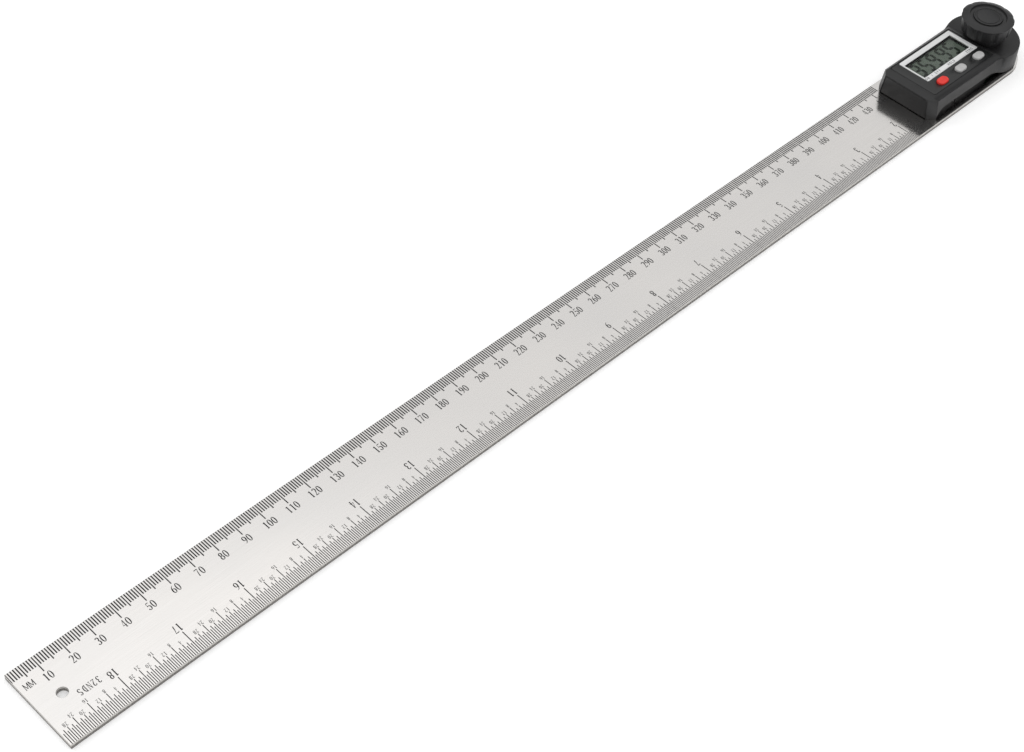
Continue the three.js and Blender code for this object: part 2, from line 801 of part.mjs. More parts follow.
function boardScrew(place, number) {
  const profile = [
    [0, boardTop - boardScrewLength],
    [boardScrewRadius, boardTop - boardScrewLength],
    [boardScrewRadius, boardTop],
    [boardScrewHeadRadius, boardTop],
    [boardScrewHeadRadius, boardTop + boardScrewHeadHeight],
    [0, boardTop + boardScrewHeadHeight],
  ];
  const screw = turned(profile, place.along, place.across, smallRoundSteps);
  return piece(`board_screw_${number}`, screw, turnedSteelColor, 0.35, 1);
}

// Low dome of resin over the chip, on the underside of the board.
function sensorChip() {
  const dome = Array.from({ length: chipSteps + 1 }, (_, i) => {
    const angle = quarterTurn * (1 - i / chipSteps);
    return [chipRadius * Math.cos(angle), boardBottom - chipHeight * Math.sin(angle)];
  });
  const blob = turned([...dome, [0, boardBottom]], chipAlong, 0, smallRoundSteps);
  return piece('sensor_chip', blob, blackColor, 0.4);
}

function keySwitch(along, number) {
  const side = switchSide / 2;
  const can = block(along - side, along + side, buttonLine - side, buttonLine + side,
    boardTop, switchTop - switchStep);
  const dome = bar(switchRadius, switchTop - 2 * switchStep, switchTop, along, buttonLine, smallRoundSteps);
  return piece(`key_switch_${number}`, can.add(dome), turnedSteelColor, 0.4, 1);
}

// Button: crowned key, retaining flange under the roof, plunger over the switch.
function button(name, along, color) {
  const flangeTopFace = buttonBottom + buttonFlangeThickness;
  const key = plate(
    capsule(along, buttonLine, buttonLength, buttonWidth),
    buttonBottom,
    displayDeck + buttonProud,
    capsuleSteps,
    buttonCrown,
    buttonCrownSteps,
  );
  const flange = plate(
    capsule(along, buttonLine, buttonLength + 2 * buttonFlange, buttonWidth + 2 * buttonFlange),
    buttonBottom,
    flangeTopFace,
    capsuleSteps,
  );
  const plunger = bar(plungerRadius, buttonBottom - plungerLength, flangeTopFace, along, buttonLine,
    smallRoundSteps);
  return piece(name, join([key, flange, plunger]), color, 0.5);
}

// Tray: door plate, floor that ends round behind the cell, rim about the cell, slot for the lower spring.
function batteryTray() {
  const doorBottom = bladeTop + slideClearance;
  const doorRear = housingFront + trayDoorThickness;
  const door = plateAlongX(doorShape(0, doorBottom), housingFront, doorRear);
  const outline = new THREE.Shape();
  const half = cellRadius + trayRim;
  outline.moveTo(doorRear + trayCorner, half);
  outline.lineTo(doorRear - trayDoorThickness / 2, half - trayCorner);
  outline.lineTo(doorRear - trayDoorThickness / 2, trayCorner - half);
  outline.lineTo(doorRear + trayCorner, -half);
  outline.absarc(cellCentre, 0, half, -quarterTurn, quarterTurn);
  const body = plate(outline, trayBottom, trayRimTop, bladeEndSteps);
  const seat = bar(cellRadius + trayGap, trayBottom + trayFloor, trayRimTop + overrun, cellCentre, 0);
  const slotHalf = springWidth / 2 + slideClearance;
  const slotRear = cellCentre + half + overrun;
  const slot = block(cellCentre - springFoot / 2, slotRear, -slotHalf, slotHalf,
    trayBottom - overrun, trayRimTop + overrun);
  return piece('battery_tray', cut(door.add(body), [seat, slot]), shellColor, 0.55);
}

// Button cell with its stepped lower edge.
function coinCell() {
  const cell = turned([
    [0, cellBottom],
    [cellRadius - cellLip, cellBottom],
    [cellRadius - cellLip, cellBottom + cellLipHeight],
    [cellRadius, cellBottom + 2 * cellLipHeight],
    [cellRadius, cellTop],
    [0, cellTop],
  ], cellCentre, 0);
  return piece('coin_cell', cell, turnedSteelColor, 0.25, 1);
}

// Bent leaf spring: a foot on its carrier, a long slope to its contact line and a short turned-back tip.
function leafSpring(name, root, footFace, contactFace) {
  const up = Math.sign(contactFace - footFace);
  const outer = contactFace - up * springRelease;
  const footEnd = root - springFoot;
  const contact = footEnd - springReach;
  const tip = contact - springTip;
  const thick = up * springThickness;
  const shape = new THREE.Shape();
  shape.moveTo(root, footFace);
  shape.lineTo(root, footFace + thick);
  shape.lineTo(footEnd, footFace + thick);
  shape.lineTo(contact, outer);
  shape.lineTo(tip, outer - thick);
  shape.lineTo(tip, outer - 2 * thick);
  shape.lineTo(contact, outer - thick);
  shape.lineTo(footEnd, footFace);
  const geometry = new THREE.ExtrudeGeometry(shape, { depth: springWidth, bevelEnabled: false });
  geometry.rotateX(quarterTurn);
  geometry.translate(0, springWidth / 2, 0);
  return piece(name, solidOf(geometry), brassColor, 0.35, 1);
}

function thrustWasher() {
  const washer = ring(hubShaftRadius + 2 * runClearance, thrustWasherRadius, bossTop, washerTop);
  return piece('thrust_washer', washer, turnedSteelColor, 0.3, 1);
}

// One level of the knob: a circle with upright grooves, as deep as a share of the full depth.
function knobRing(radius, height, grooveShare) {
  const count = knobGrooveCount * knobGrooveSteps;
  return Array.from({ length: count }, (_, i) => {
    const phase = 2 * quarterTurn * i / knobGrooveSteps;
    const reach = radius - grooveShare * knobGrooveDepth * Math.cos(phase) ** knobGroovePower;
    const angle = knobGrooveStart + 4 * quarterTurn * i / count;
    return new THREE.Vector3(reach * Math.cos(angle), reach * Math.sin(angle), height);
  });
}

// Moulded knob: grooved wall under a rim, crown sloping up to the dish, hollow underside round its hub.
function lockKnob() {
  const rimLevel = knobTop - knobCrownHeight;
  const body = loft([
    knobRing(knobFootRadius, knobBottom, 1),
    knobRing(knobNeckRadius, rimLevel - knobRimHeight, 1),
    knobRing(knobRimRadius, rimLevel, knobRimGrooveShare),
    knobRing(knobCrownRadius, knobTop, 0),
  ]);
  const hub = bar(knobHubRadius, washerTop + fitClearance, knobTop - knobRoofThickness);
  const hollow = ring(knobHubRadius, knobHollowRadius, knobBottom - overrun, knobTop - knobRoofThickness);
  const dish = bar(knobDishRadius, knobTop - knobDishDepth, knobTop + overrun);
  const capBottom = knobTop - knobCapSink - knobCapThickness - fitClearance;
  const capPocket = bar(knobCapRadius + fitClearance, capBottom, knobTop + overrun);
  const insertBore = bar(insertRadius + fitClearance, knobBottom - overrun, insertTop + fitClearance);
  const whole = cut(body.add(hub), [hollow, dish, capPocket, insertBore]);
  return piece('lock_knob', whole, knobColor, 0.6);
}

function knobInsert() {
  const insert = ring(hubStudRadius + fitClearance, insertRadius, insertBottom, insertTop);
  return piece('knob_insert', insert, brassColor, 0.35, 1);
}

// Centre disc of the knob, with a round groove inside its edge.
function knobCap() {
  const top = knobTop - knobCapSink;
  const bottom = top - knobCapThickness;
  const grooveOuter = knobCapRadius - knobCapRingWidth;
  const grooveInner = grooveOuter - knobCapRingWidth;
  const cap = turned([
    [0, bottom],
    [knobCapRadius, bottom],
    [knobCapRadius, top],
    [grooveOuter, top],
    [grooveOuter, top - knobCapRingDepth],
    [grooveInner, top - knobCapRingDepth],
    [grooveInner, top],
    [0, top],
  ]);
  return piece('knob_cap', cap, knobColor, 0.5);
}

function lowerArm() {
  const arm = new THREE.Group();
  arm.add(lowerBlade(), pivotHub(), encoderRotor(), rotorClip());
  rivetPlaces().forEach((place, i) => arm.add(hubRivet(place, i + 1)));
  return arm;
}

function upperArm() {
  const arm = new THREE.Group();
  arm.add(upperBlade(), frictionWasher(), housingBase(), housingTop(), fasciaPlate(), bezelFrame());
  arm.add(displayWindow(), lcdGlass(), zebraStrip(-1, 1), zebraStrip(1, 2), mainBoard(), sensorChip());
  caseScrewPlaces.forEach((place, i) => arm.add(caseScrew(place, i + 1)));
  boardScrewPlaces.forEach((place, i) => arm.add(boardScrew(place, i + 1)));
  buttonPlaces().forEach((along, i) => arm.add(keySwitch(along, i + 1)));
  const springRoot = cellCentre + cellRadius + springFoot;
  arm.add(leafSpring('cell_spring_plus', springRoot, boardBottom, cellTop));
  arm.add(leafSpring('cell_spring_minus', springRoot, baseTop, cellBottom));
  return arm;
}

function buttons() {
  const [power, hold, zero] = buttonPlaces();
  const keys = new THREE.Group();
  keys.add(button('button_power', power, redColor));
  keys.add(button('button_hold', hold, greyColor));
  keys.add(button('button_zero', zero, greyColor));
  return keys;
}

function battery() {
  const drawer = new THREE.Group();
  drawer.add(batteryTray(), coinCell());
  return drawer;
}

function lock() {
  const knob = new THREE.Group();
  knob.add(thrustWasher(), lockKnob(), knobInsert(), knobCap());
  return knob;
}

const angleFinder = new THREE.Group();
angleFinder.name = 'angle_finder';
angleFinder.add(lowerArm(), upperArm(), buttons(), battery(), lock());

export default angleFinder;
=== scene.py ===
# %% [markdown]
# A digital angle finder: two flat stainless blades on one pivot, a moulded black housing with a
# small display and three push keys, and a grooved knob that clamps the blades.
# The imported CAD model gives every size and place. This script adds what the eye reads: rounded
# mould edges, brushed steel, etched scales, display digits and the finish of each surface.
# Blender works in metres here, so a real size is written in millimetres and multiplied by mm.

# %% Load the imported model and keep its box
import math
import bmesh
import bpy
from mathutils import Euler, Matrix, Vector


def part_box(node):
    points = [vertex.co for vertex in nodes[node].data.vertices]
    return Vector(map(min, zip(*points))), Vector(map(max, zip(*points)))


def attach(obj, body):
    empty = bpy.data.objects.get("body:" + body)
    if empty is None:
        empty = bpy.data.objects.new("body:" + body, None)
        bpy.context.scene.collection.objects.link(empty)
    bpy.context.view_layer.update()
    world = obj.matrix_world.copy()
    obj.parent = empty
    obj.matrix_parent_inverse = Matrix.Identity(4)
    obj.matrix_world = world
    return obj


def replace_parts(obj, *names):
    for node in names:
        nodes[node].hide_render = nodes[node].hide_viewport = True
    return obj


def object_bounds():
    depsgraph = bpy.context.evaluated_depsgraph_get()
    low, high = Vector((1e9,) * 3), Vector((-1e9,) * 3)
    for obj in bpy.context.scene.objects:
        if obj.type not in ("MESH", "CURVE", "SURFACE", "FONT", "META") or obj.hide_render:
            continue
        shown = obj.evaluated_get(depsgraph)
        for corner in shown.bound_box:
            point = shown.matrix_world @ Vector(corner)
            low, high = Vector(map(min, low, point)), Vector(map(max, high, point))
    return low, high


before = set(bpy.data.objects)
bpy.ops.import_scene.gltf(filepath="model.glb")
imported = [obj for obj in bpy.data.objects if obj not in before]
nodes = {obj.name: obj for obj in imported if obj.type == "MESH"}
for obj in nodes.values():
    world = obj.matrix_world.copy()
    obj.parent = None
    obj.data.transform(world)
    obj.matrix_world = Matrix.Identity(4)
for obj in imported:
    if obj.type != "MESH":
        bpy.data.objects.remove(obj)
cad_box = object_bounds()
mm = 0.001
print("nodes", len(nodes), "box mm", [round(v / mm, 2) for corner in cad_box for v in corner])

# %% [markdown]
# The camera comes first, because everything is judged through it. Its place, turn and lens come
# from the etched scale: the millimetre and inch marks in the photograph are points with known real
# places. A first fit to them also had the slight bend of a real lens. The camera here has none and
# was fitted to that one, with more weight on the head. Measured against the photograph, the keys of
# the render lie within one pixel and the marks on the blade one to three pixels off.

# %% Camera at the photograph's place
camera_place = Vector((-641.37, -319.23, 515.32)) * mm
camera_turn = [math.radians(angle) for angle in (42.7039, -3.4190, -45.4523)]
sensor_width = 36.0
focal_length = 66.894
camera_shift = (-0.03605, -0.00036)
nearest_seen = 10 * mm
farthest_seen = 20

camera_data = bpy.data.cameras.new("photo_camera")
camera_data.sensor_width = sensor_width
camera_data.lens = focal_length
camera_data.shift_x, camera_data.shift_y = camera_shift
camera_data.clip_start = nearest_seen
camera_data.clip_end = farthest_seen
camera = bpy.data.objects.new("photo_camera", camera_data)
camera.location = camera_place
camera.rotation_euler = Euler(camera_turn, "XYZ")
bpy.context.scene.collection.objects.link(camera)
bpy.context.scene.camera = camera
print("camera at mm", [round(v / mm) for v in camera_place])

# %% [markdown]
# Two helpers serve all the cells below. Colours are written as the sRGB codes of a colour picker,
# but shaders want linear values, so one function turns them. The other adds a node. It takes plain
# values and links alike, which keeps each node on one or a few lines.

# %% Small helpers for colours and nodes
def linear(code):
    """An sRGB hex colour such as d8d8d6, as linear red, green, blue and alpha."""
    parts = [int(code[i:i + 2], 16) / 255 for i in (0, 2, 4)]
    return [p / 12.92 if p <= 0.04045 else ((p + 0.055) / 1.055) ** 2.4 for p in parts] + [1.0]


def add(tree, kind, sockets=None, **settings):
    """Adds one node with its settings, and sets or links the sockets given by name or number."""
    made = tree.nodes.new(kind)
    for key, value in settings.items():
        setattr(made, key, value)
    for key, value in (sockets or {}).items():
        if isinstance(value, bpy.types.NodeSocket):
            tree.links.new(value, made.inputs[key])
        else:
            made.inputs[key].default_value = value
    return made


white = linear("ffffff")
print("white in linear values", white)

# %% [markdown]
# The tool lies on plain white paper in a light tent. Flat steel is a mirror, so its tone is that of
# the part of the tent it faces. A few lamps alone would leave it black with bright patches. Here
# the whole sky is the tent, graded by height: dark at the horizon, even in the middle, brightest
# nearly 60 degrees up and dimmer again overhead. So the free end of the blade, close to the camera,
# turns almost white and the rest an even pale grey. The camera itself sees plain white.

# %% Light tent
# Height of a direction, from 0 at the horizon to 1 overhead, and the light that comes from there.
tent_light = [(0.24, 0.26), (0.6, 0.82), (0.765, 0.86), (0.815, 1.24), (0.86, 1.26), (1.0, 0.95)]
brightest = max(light for height, light in tent_light)
world = bpy.data.worlds.new("light_tent")
world.use_nodes = True
tree = world.node_tree
tree.nodes.clear()
direction = add(tree, "ShaderNodeTexCoord")
split = add(tree, "ShaderNodeSeparateXYZ", {0: direction.outputs["Generated"]})
level = add(tree, "ShaderNodeValToRGB", {0: split.outputs["Z"]})
stops = level.color_ramp.elements
for height, light in tent_light[1:-1]:
    stops.new(height)
for stop, (height, light) in zip(stops, tent_light):
    stop.position = height
    stop.color = (light / brightest, light / brightest, light / brightest, 1.0)
tent = add(tree, "ShaderNodeBackground", {"Color": level.outputs[0], "Strength": brightest})
plain = add(tree, "ShaderNodeBackground", {"Color": white, "Strength": 1.0})
rays = add(tree, "ShaderNodeLightPath")
mixed = add(tree, "ShaderNodeMixShader", {
    0: rays.outputs["Is Camera Ray"],
    1: tent.outputs[0],
    2: plain.outputs[0],
})
add(tree, "ShaderNodeOutputWorld", {0: mixed.outputs[0]})
bpy.context.scene.world = world
bpy.context.scene.view_settings.view_transform = "Standard"
print("tent stops", len(stops), "brightest", brightest)

# %% [markdown]
# Two large soft lamps model the black plastic, one from behind on the left and one lower down on
# the right. They could show in the steel too, but a turned arm would then blaze to white where it
# mirrors one of them, so mirrored light leaves them out.

# %% Soft lamps
def lamp(name, place, aim, size, power):
    """A square soft lamp, pointing from its place to its aim. Lengths in metres, power in watts."""
    data = bpy.data.lights.new(name, "AREA")
    data.shape = "SQUARE"
    data.size = size
    data.energy = power
    made = bpy.data.objects.new(name, data)
    made.location = place
    made.rotation_euler = (Vector(aim) - Vector(place)).to_track_quat("-Z", "Y").to_euler()
    made.visible_glossy = False
    bpy.context.scene.collection.objects.link(made)


lamp("far_softbox", place=(-0.75, 1.15, 0.75), aim=(-0.2, 0, 0), size=0.8, power=4.5)
lamp("near_softbox", place=(0.45, -0.95, 0.42), aim=(0, 0, 0.01), size=0.8, power=2.6)
print("lamps", len(bpy.data.lights))

# %% [markdown]
# A finish here is one material with one Principled shader. On top come one or two noise patterns,
# because no real surface has the same colour, gloss and height all over. A pattern could lie in a
# picture, but noise needs no file and has no seams. Its grain is a real size, and it is read in the
# object's own space, so it stays on the piece when an arm turns.

# %% Base for every finish
def material(name, color, roughness, metallic=0.0, ior=1.5, others=None):
    """A material with one Principled shader. others gives more of its sockets."""
    made = bpy.data.materials.new(name)
    made.use_nodes = True
    made.node_tree.nodes.clear()
    shader = add(made.node_tree, "ShaderNodeBsdfPrincipled", {
        "Base Color": linear(color),
        "Roughness": roughness,
        "Metallic": metallic,
        "IOR": ior,
        **(others or {}),
    })
    add(made.node_tree, "ShaderNodeOutputMaterial", {"Surface": shader.outputs[0]})
    made.diffuse_color = linear(color)
    return made


def vary(finish, size, stretch=(1, 1, 1), detail=2.0, spread=(0.3, 0.7),
         tones=None, strength=1.0, gloss=None, depth=None):
    """Lets one noise vary a finish. size is its grain in metres, and stretch draws it out.

    Its values between the two of spread move the colour between two tones, by up to strength, and
    the roughness between the two of gloss. depth is the height of its relief. The first tone may be
    the result of an earlier call, because the mixed colour is returned.
    """
    tree = finish.node_tree
    shader = tree.nodes["Principled BSDF"]
    place = add(tree, "ShaderNodeTexCoord")
    scaled = add(tree, "ShaderNodeMapping", {
        "Vector": place.outputs["Object"],
        "Scale": [1 / (size * share) for share in stretch],
    })
    noise = add(tree, "ShaderNodeTexNoise", {
        "Vector": scaled.outputs[0],
        "Scale": 1.0,
        "Detail": detail,
        "Roughness": 0.5,
    })
    ranges = {"tones": (0.0, strength) if tones else None, "gloss": gloss}
    driven = {}
    for use, limits in ranges.items():
        if limits:
            driven[use] = add(tree, "ShaderNodeMapRange", {
                "Value": noise.outputs[0],
                "From Min": spread[0],
                "From Max": spread[1],
                "To Min": limits[0],
                "To Max": limits[1],
            }).outputs[0]
    if gloss:
        tree.links.new(driven["gloss"], shader.inputs["Roughness"])
    if depth:
        bump = add(tree, "ShaderNodeBump", {
            "Height": noise.outputs[0],
            "Distance": depth,
            "Strength": 1.0,
        })
        tree.links.new(bump.outputs[0], shader.inputs["Normal"])
    if not tones:
        return None
    first, second = [linear(tone) if isinstance(tone, str) else tone for tone in tones]
    sockets = {"Factor": driven["tones"], 6: first, 7: second}
    mixed = add(tree, "ShaderNodeMix", sockets, data_type="RGBA")
    tree.links.new(mixed.outputs[2], shader.inputs["Base Color"])
    return mixed.outputs[2]


# %% [markdown]
# The ground is a sheet of matt white paper. It catches the tool's shadow and is no part of it. Lit
# paper comes out a little grey, and more light would burn out the steel, so the paper glows a
# little instead, and does so in mirrors and glass too.

# %% Floor
floor_drop = 0.02 * mm
floor_half = 3.0
paper_glow = 0.25
white_paper = material("white_paper", "f4f4f4", roughness=0.9, others={"Emission Color": white})
tree = white_paper.node_tree
rays = add(tree, "ShaderNodeLightPath")
seen = rays.outputs["Is Camera Ray"]
for kind in ("Is Glossy Ray", "Is Transmission Ray"):
    seen = add(tree, "ShaderNodeMath", {0: seen, 1: rays.outputs[kind]}, operation="MAXIMUM").outputs[0]
glow = add(tree, "ShaderNodeMath", {0: paper_glow, 1: seen}, operation="MULTIPLY")
tree.links.new(glow.outputs[0], tree.nodes["Principled BSDF"].inputs["Emission Strength"])

mesh = bmesh.new()
bmesh.ops.create_grid(mesh, x_segments=1, y_segments=1, size=floor_half)
bmesh.ops.translate(mesh, verts=mesh.verts, vec=(0, 0, -floor_drop))
data = bpy.data.meshes.new("paper_floor")
mesh.to_mesh(data)
mesh.free()
data.materials.append(white_paper)
floor = bpy.data.objects.new("paper_floor", data)
bpy.context.scene.collection.objects.link(floor)
print("floor", 2 * floor_half, "m wide")

# %% [markdown]
# The blades are cold rolled stainless strip, brushed along their length. Brushing leaves streaks a
# fraction of a millimetre wide and about two centimetres long. To the eye they are faint lines and
# a sheen that is a little soft. Larger clouds, warm and cool, show where steel mirrors something
# white. One noise drawn out 160 times along the blade gives the streaks, another the clouds.

# %% Brushed steel
streak_width = 0.14 * mm
cloud_size = 26 * mm
blade_steel = material("brushed_stainless_steel", "e6e4e1", roughness=0.18, metallic=1.0)
tint = vary(blade_steel, cloud_size, stretch=(2, 1, 1), detail=3.0, tones=("eae7e4", "e4e2e0"))
vary(blade_steel, streak_width, stretch=(160, 1, 1), detail=3.0, tones=(tint, "d6d3cf"), strength=0.3,
     gloss=(0.13, 0.18), depth=0.0004 * mm)
print("streaks", round(streak_width / mm, 2), "mm wide")

# %% [markdown]
# The other metals are plainer. Shearing tears the strip's thin edges, so they are dull and change
# in tone along the blade. The lower strip's edges are a darker copy of the same finish: painted
# shade for the shadow they lie in under the upper strip. Turned and stamped steel has fine
# rings. Sprung brass is smooth and drawn along its length.

# %% Other metals
upper_cut_steel = material("sheared_steel_edge", "ceccc8", roughness=0.38, metallic=1.0)
# Painted shade: the lower strip's cut edges are darker than the upper's because they lie in shadow.
lower_edge_painted_shade = material("sheared_steel_edge_painted_shade", "8f8c89", roughness=0.38, metallic=1.0)
vary(upper_cut_steel, 0.3 * mm, stretch=(1, 1, 8), tones=("ceccc8", "b8b5b1"))
vary(lower_edge_painted_shade, 0.3 * mm, stretch=(1, 1, 8), tones=("8f8c89", "787572"))

turned_steel = material("turned_steel", "c8c9ca", roughness=0.3, metallic=1.0)
vary(turned_steel, 0.3 * mm, stretch=(1, 1, 0.3), gloss=(0.22, 0.4))

spring_brass = material("spring_brass", "c79a4b", roughness=0.3, metallic=1.0)
vary(spring_brass, 0.2 * mm, stretch=(8, 1, 1), gloss=(0.22, 0.42))
print("metals", blade_steel.name, upper_cut_steel.name, turned_steel.name, spring_brass.name)

# %% [markdown]
# The housing and knob are ABS moulded against a spark eroded tool. Its grain breaks up reflections,
# so the black reads as dark grey with no sharp highlight. The real grain is under a tenth of a
# millimetre, too fine to show, and is drawn about twice as coarse. Patches of other gloss,
# where hands have been, keep a wide wall from looking flat.

# %% Housing and knob plastics
mould_grain = 0.16 * mm
shell_black = material("spark_textured_black_abs", "131314", roughness=0.46, ior=1.53)
vary(shell_black, mould_grain, depth=0.012 * mm)
vary(shell_black, 9 * mm, detail=3.0, gloss=(0.42, 0.52))

knob_black = material("moulded_black_knob_abs", "161617", roughness=0.4, ior=1.53)
vary(knob_black, mould_grain, depth=0.014 * mm)
vary(knob_black, 6 * mm, detail=3.0, gloss=(0.38, 0.48))

# The display's plate is a satin film, smoother than the shell, with a barely visible grain.
fascia_black = material("satin_black_fascia_film", "171818", roughness=0.34, ior=1.53)
vary(fascia_black, 0.1 * mm, depth=0.004 * mm)

# Inside the housing the tool was left plain, so the plastic is dull.
inner_black = material("moulded_black_inner_abs", "1c1c1d", roughness=0.6)
vary(inner_black, mould_grain, depth=0.01 * mm)
print("mould grain", round(mould_grain / mm, 2), "mm")

# %% [markdown]
# The bezel is moulded too and then painted. Satin silver paint is pale with tiny flakes, and only a
# little metallic. The keys are silicone rubber, which has a soft sheen and a faint cloudiness.
# The marks on the steel are etched and filled with black, so they are matt and slightly uneven.

# %% Paint, rubber and etched marks
silver_paint = material("satin_silver_paint_on_abs", "e2e2e1", roughness=0.38, metallic=0.15)
vary(silver_paint, 0.12 * mm, tones=("e9e9e8", "d6d7d8"))

red_rubber = material("satin_red_silicone", "e8362c", roughness=0.45)
vary(red_rubber, 1.5 * mm, detail=3.0, tones=("e8362c", "d92e26"))
grey_rubber = material("satin_grey_silicone", "b9b9b8", roughness=0.45)
vary(grey_rubber, 1.5 * mm, detail=3.0, tones=("b9b9b8", "adadad"))
for rubber in (red_rubber, grey_rubber):
    vary(rubber, 0.12 * mm, depth=0.005 * mm)

etched_black = material("etched_black_fill", "2a2a2b", roughness=0.6)
vary(etched_black, 1.2 * mm, detail=3.0, tones=("141415", "323233"))
print("keys", red_rubber.name, grey_rubber.name)

# %% [markdown]
# The pieces inside show only when the drawer is out or the model is taken apart. They get the
# finish of the real ones all the same: green solder mask over faint tracks, a glossy drop of resin,
# striped rubber connectors and a waxy acetal washer.

# %% Finishes of the inner pieces
circuit_green = material("green_solder_mask", "1f5a36", roughness=0.35)
vary(circuit_green, 2 * mm, stretch=(3, 1, 1), detail=1.0, spread=(0.45, 0.55),
     tones=("1f5a36", "2c6b42"))

resin_black = material("black_epoxy_resin", "0e0e0f", roughness=0.2)
vary(resin_black, 3 * mm, depth=0.05 * mm)

connector_rubber = material("grey_silicone_strip", "4a4a4c", roughness=0.7)
vary(connector_rubber, 0.1 * mm, stretch=(0.5, 40, 40), detail=1.0, tones=("3a3a3c", "6a6a6c"))

acetal_white = material("natural_acetal", "ded9cc", roughness=0.5)
vary(acetal_white, 2 * mm, gloss=(0.42, 0.6))
print("inner finishes", circuit_green.name, resin_black.name, connector_rubber.name, acetal_white.name)

# %% [markdown]
# The display is a reflective liquid crystal panel: grey green where it is off, nearly black where
# a segment is driven, behind a clear acrylic lens. The panel has a film against glare, so it
# mirrors little. The lens has a thin coating against glare too, so its index is set below that of
# bare acrylic and its mirrored light is tinted down. Cycles treats glass as opaque for shadow rays,
# which would leave the panel dark, so for those rays alone the lens is simply not there.

# %% Display finishes
panel_mirror = {"Specular IOR Level": 0.15}
lcd_green = material("reflective_lcd_glass", "596159", roughness=0.3, others=panel_mirror)
vary(lcd_green, 0.4 * mm, tones=("5d655d", "555c55"))
lcd_dark = material("driven_lcd_segment", "0c100d", roughness=0.35, others=panel_mirror)
vary(lcd_dark, 0.5 * mm, tones=("0a0e0b", "121713"))

lens_mirror = {"Specular Tint": linear("404040"), "Transmission Weight": 1.0}
clear_acrylic = material("clear_acrylic_lens", "f2f5f2", roughness=0.04, ior=1.2, others=lens_mirror)
vary(clear_acrylic, 5 * mm, detail=3.0, gloss=(0.0, 0.03))
tree = clear_acrylic.node_tree
rays = add(tree, "ShaderNodeLightPath")
through = add(tree, "ShaderNodeMixShader", {
    0: rays.outputs["Is Shadow Ray"],
    1: tree.nodes["Principled BSDF"].outputs[0],
    2: add(tree, "ShaderNodeBsdfTransparent").outputs[0],
})
tree.links.new(through.outputs[0], tree.nodes["Material Output"].inputs["Surface"])
print("display finishes", lcd_green.name, lcd_dark.name, clear_acrylic.name)

# %% [markdown]
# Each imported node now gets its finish, by its own name or by the name of its family where there are
# several alike. The nodes themselves stay where and as they are.

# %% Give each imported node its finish
finish_of = {
    "lower_blade": blade_steel,
    "upper_blade": blade_steel,
    "friction_washer": acetal_white,
    "pivot_hub": turned_steel,
    "encoder_rotor": circuit_green,
    "rotor_clip": turned_steel,
    "housing_base": inner_black,
    "housing_top": shell_black,
    "fascia_plate": fascia_black,
    "bezel_frame": silver_paint,
    "display_window": clear_acrylic,
    "lcd_glass": lcd_green,
    "main_board": circuit_green,
    "sensor_chip": resin_black,
    "cell_spring_plus": spring_brass,
    "cell_spring_minus": spring_brass,
    "button_power": red_rubber,
    "button_hold": grey_rubber,
    "button_zero": grey_rubber,
    "battery_tray": shell_black,
    "coin_cell": turned_steel,
    "thrust_washer": turned_steel,
    "lock_knob": knob_black,
    "knob_insert": spring_brass,
    "knob_cap": knob_black,
}
finish_of_family = {
    "hub_rivet": turned_steel,
    "case_screw": turned_steel,
    "board_screw": turned_steel,
    "key_switch": turned_steel,
    "zebra_strip": connector_rubber,
}
for name, node in nodes.items():
    family = name.rsplit("_", 1)[0]
    node.data.materials.clear()
    node.data.materials.append(finish_of.get(name) or finish_of_family[family])
print("finishes on", len(nodes), "nodes")

# %% [markdown]
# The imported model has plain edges. Moulded and pressed parts have small round ones, which catch the
# light and show what a part is made of. They could be modelled anew, but where a node's shape is
# right it is safer to copy its mesh, round the copy's edges with a Bevel modifier, and let the copy
# stand for the node. A weight on each edge tells the modifier how much of the width it gets.

# %% Mesh helpers
merge_distance = 0.002 * mm
# Angles between two faces: flat enough to join, enough to be rounded, and sharp if not rounded.
flat_turn = math.radians(0.5)
edge_turn = math.radians(16)
hard_turn = math.radians(30)


def join_flat_faces(mesh):
    """Joins the faces of a bmesh that lie in one plane."""
    bmesh.ops.dissolve_limit(mesh, angle_limit=flat_turn, verts=mesh.verts, edges=mesh.edges)
    bmesh.ops.recalc_face_normals(mesh, faces=mesh.faces)


def object_from(mesh, name, body, finish, crease=35):
    """Turns a bmesh into an object that rides on a body, its edges sharp above crease degrees."""
    for face in mesh.faces:
        face.smooth = True
    for edge in mesh.edges:
        edge.smooth = edge.calc_face_angle(0) < math.radians(crease)
    data = bpy.data.meshes.new(name)
    mesh.to_mesh(data)
    mesh.free()
    data.materials.append(finish)
    made = bpy.data.objects.new(name, data)
    bpy.context.scene.collection.objects.link(made)
    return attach(made, body)


def softened(node, body, width, share_of=None, steps=3, concave=False):
    """A copy of a node with round edges. share_of gives an edge's share of the width by its middle."""
    mesh = bmesh.new()
    mesh.from_mesh(nodes[node].data)
    bmesh.ops.remove_doubles(mesh, verts=mesh.verts, dist=merge_distance)
    join_flat_faces(mesh)
    weights = mesh.edges.layers.float.new("bevel_weight_edge")
    mesh.edges.index_update()
    sharp = []
    for edge in mesh.edges:
        turn = edge.calc_face_angle(0)
        if turn > edge_turn and (concave or edge.is_convex):
            middle = (edge.verts[0].co + edge.verts[1].co) / 2
            edge[weights] = share_of(middle) if share_of else 1.0
        if edge[weights] == 0 and turn > hard_turn:
            sharp.append(edge.index)
    made = object_from(mesh, "rounded_" + node, body, finish_of[node], crease=180)
    for index in sharp:
        made.data.edges[index].use_edge_sharp = True
    bevel = made.modifiers.new("round_edges", "BEVEL")
    bevel.width = width
    bevel.segments = steps
    bevel.limit_method = "WEIGHT"
    bevel.harden_normals = True
    bevel.use_clamp_overlap = False
    bevel.loop_slide = False
    bevel.miter_outer = "MITER_ARC"
    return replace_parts(made, node)


print("edges over", round(math.degrees(edge_turn)), "degrees can be rounded")

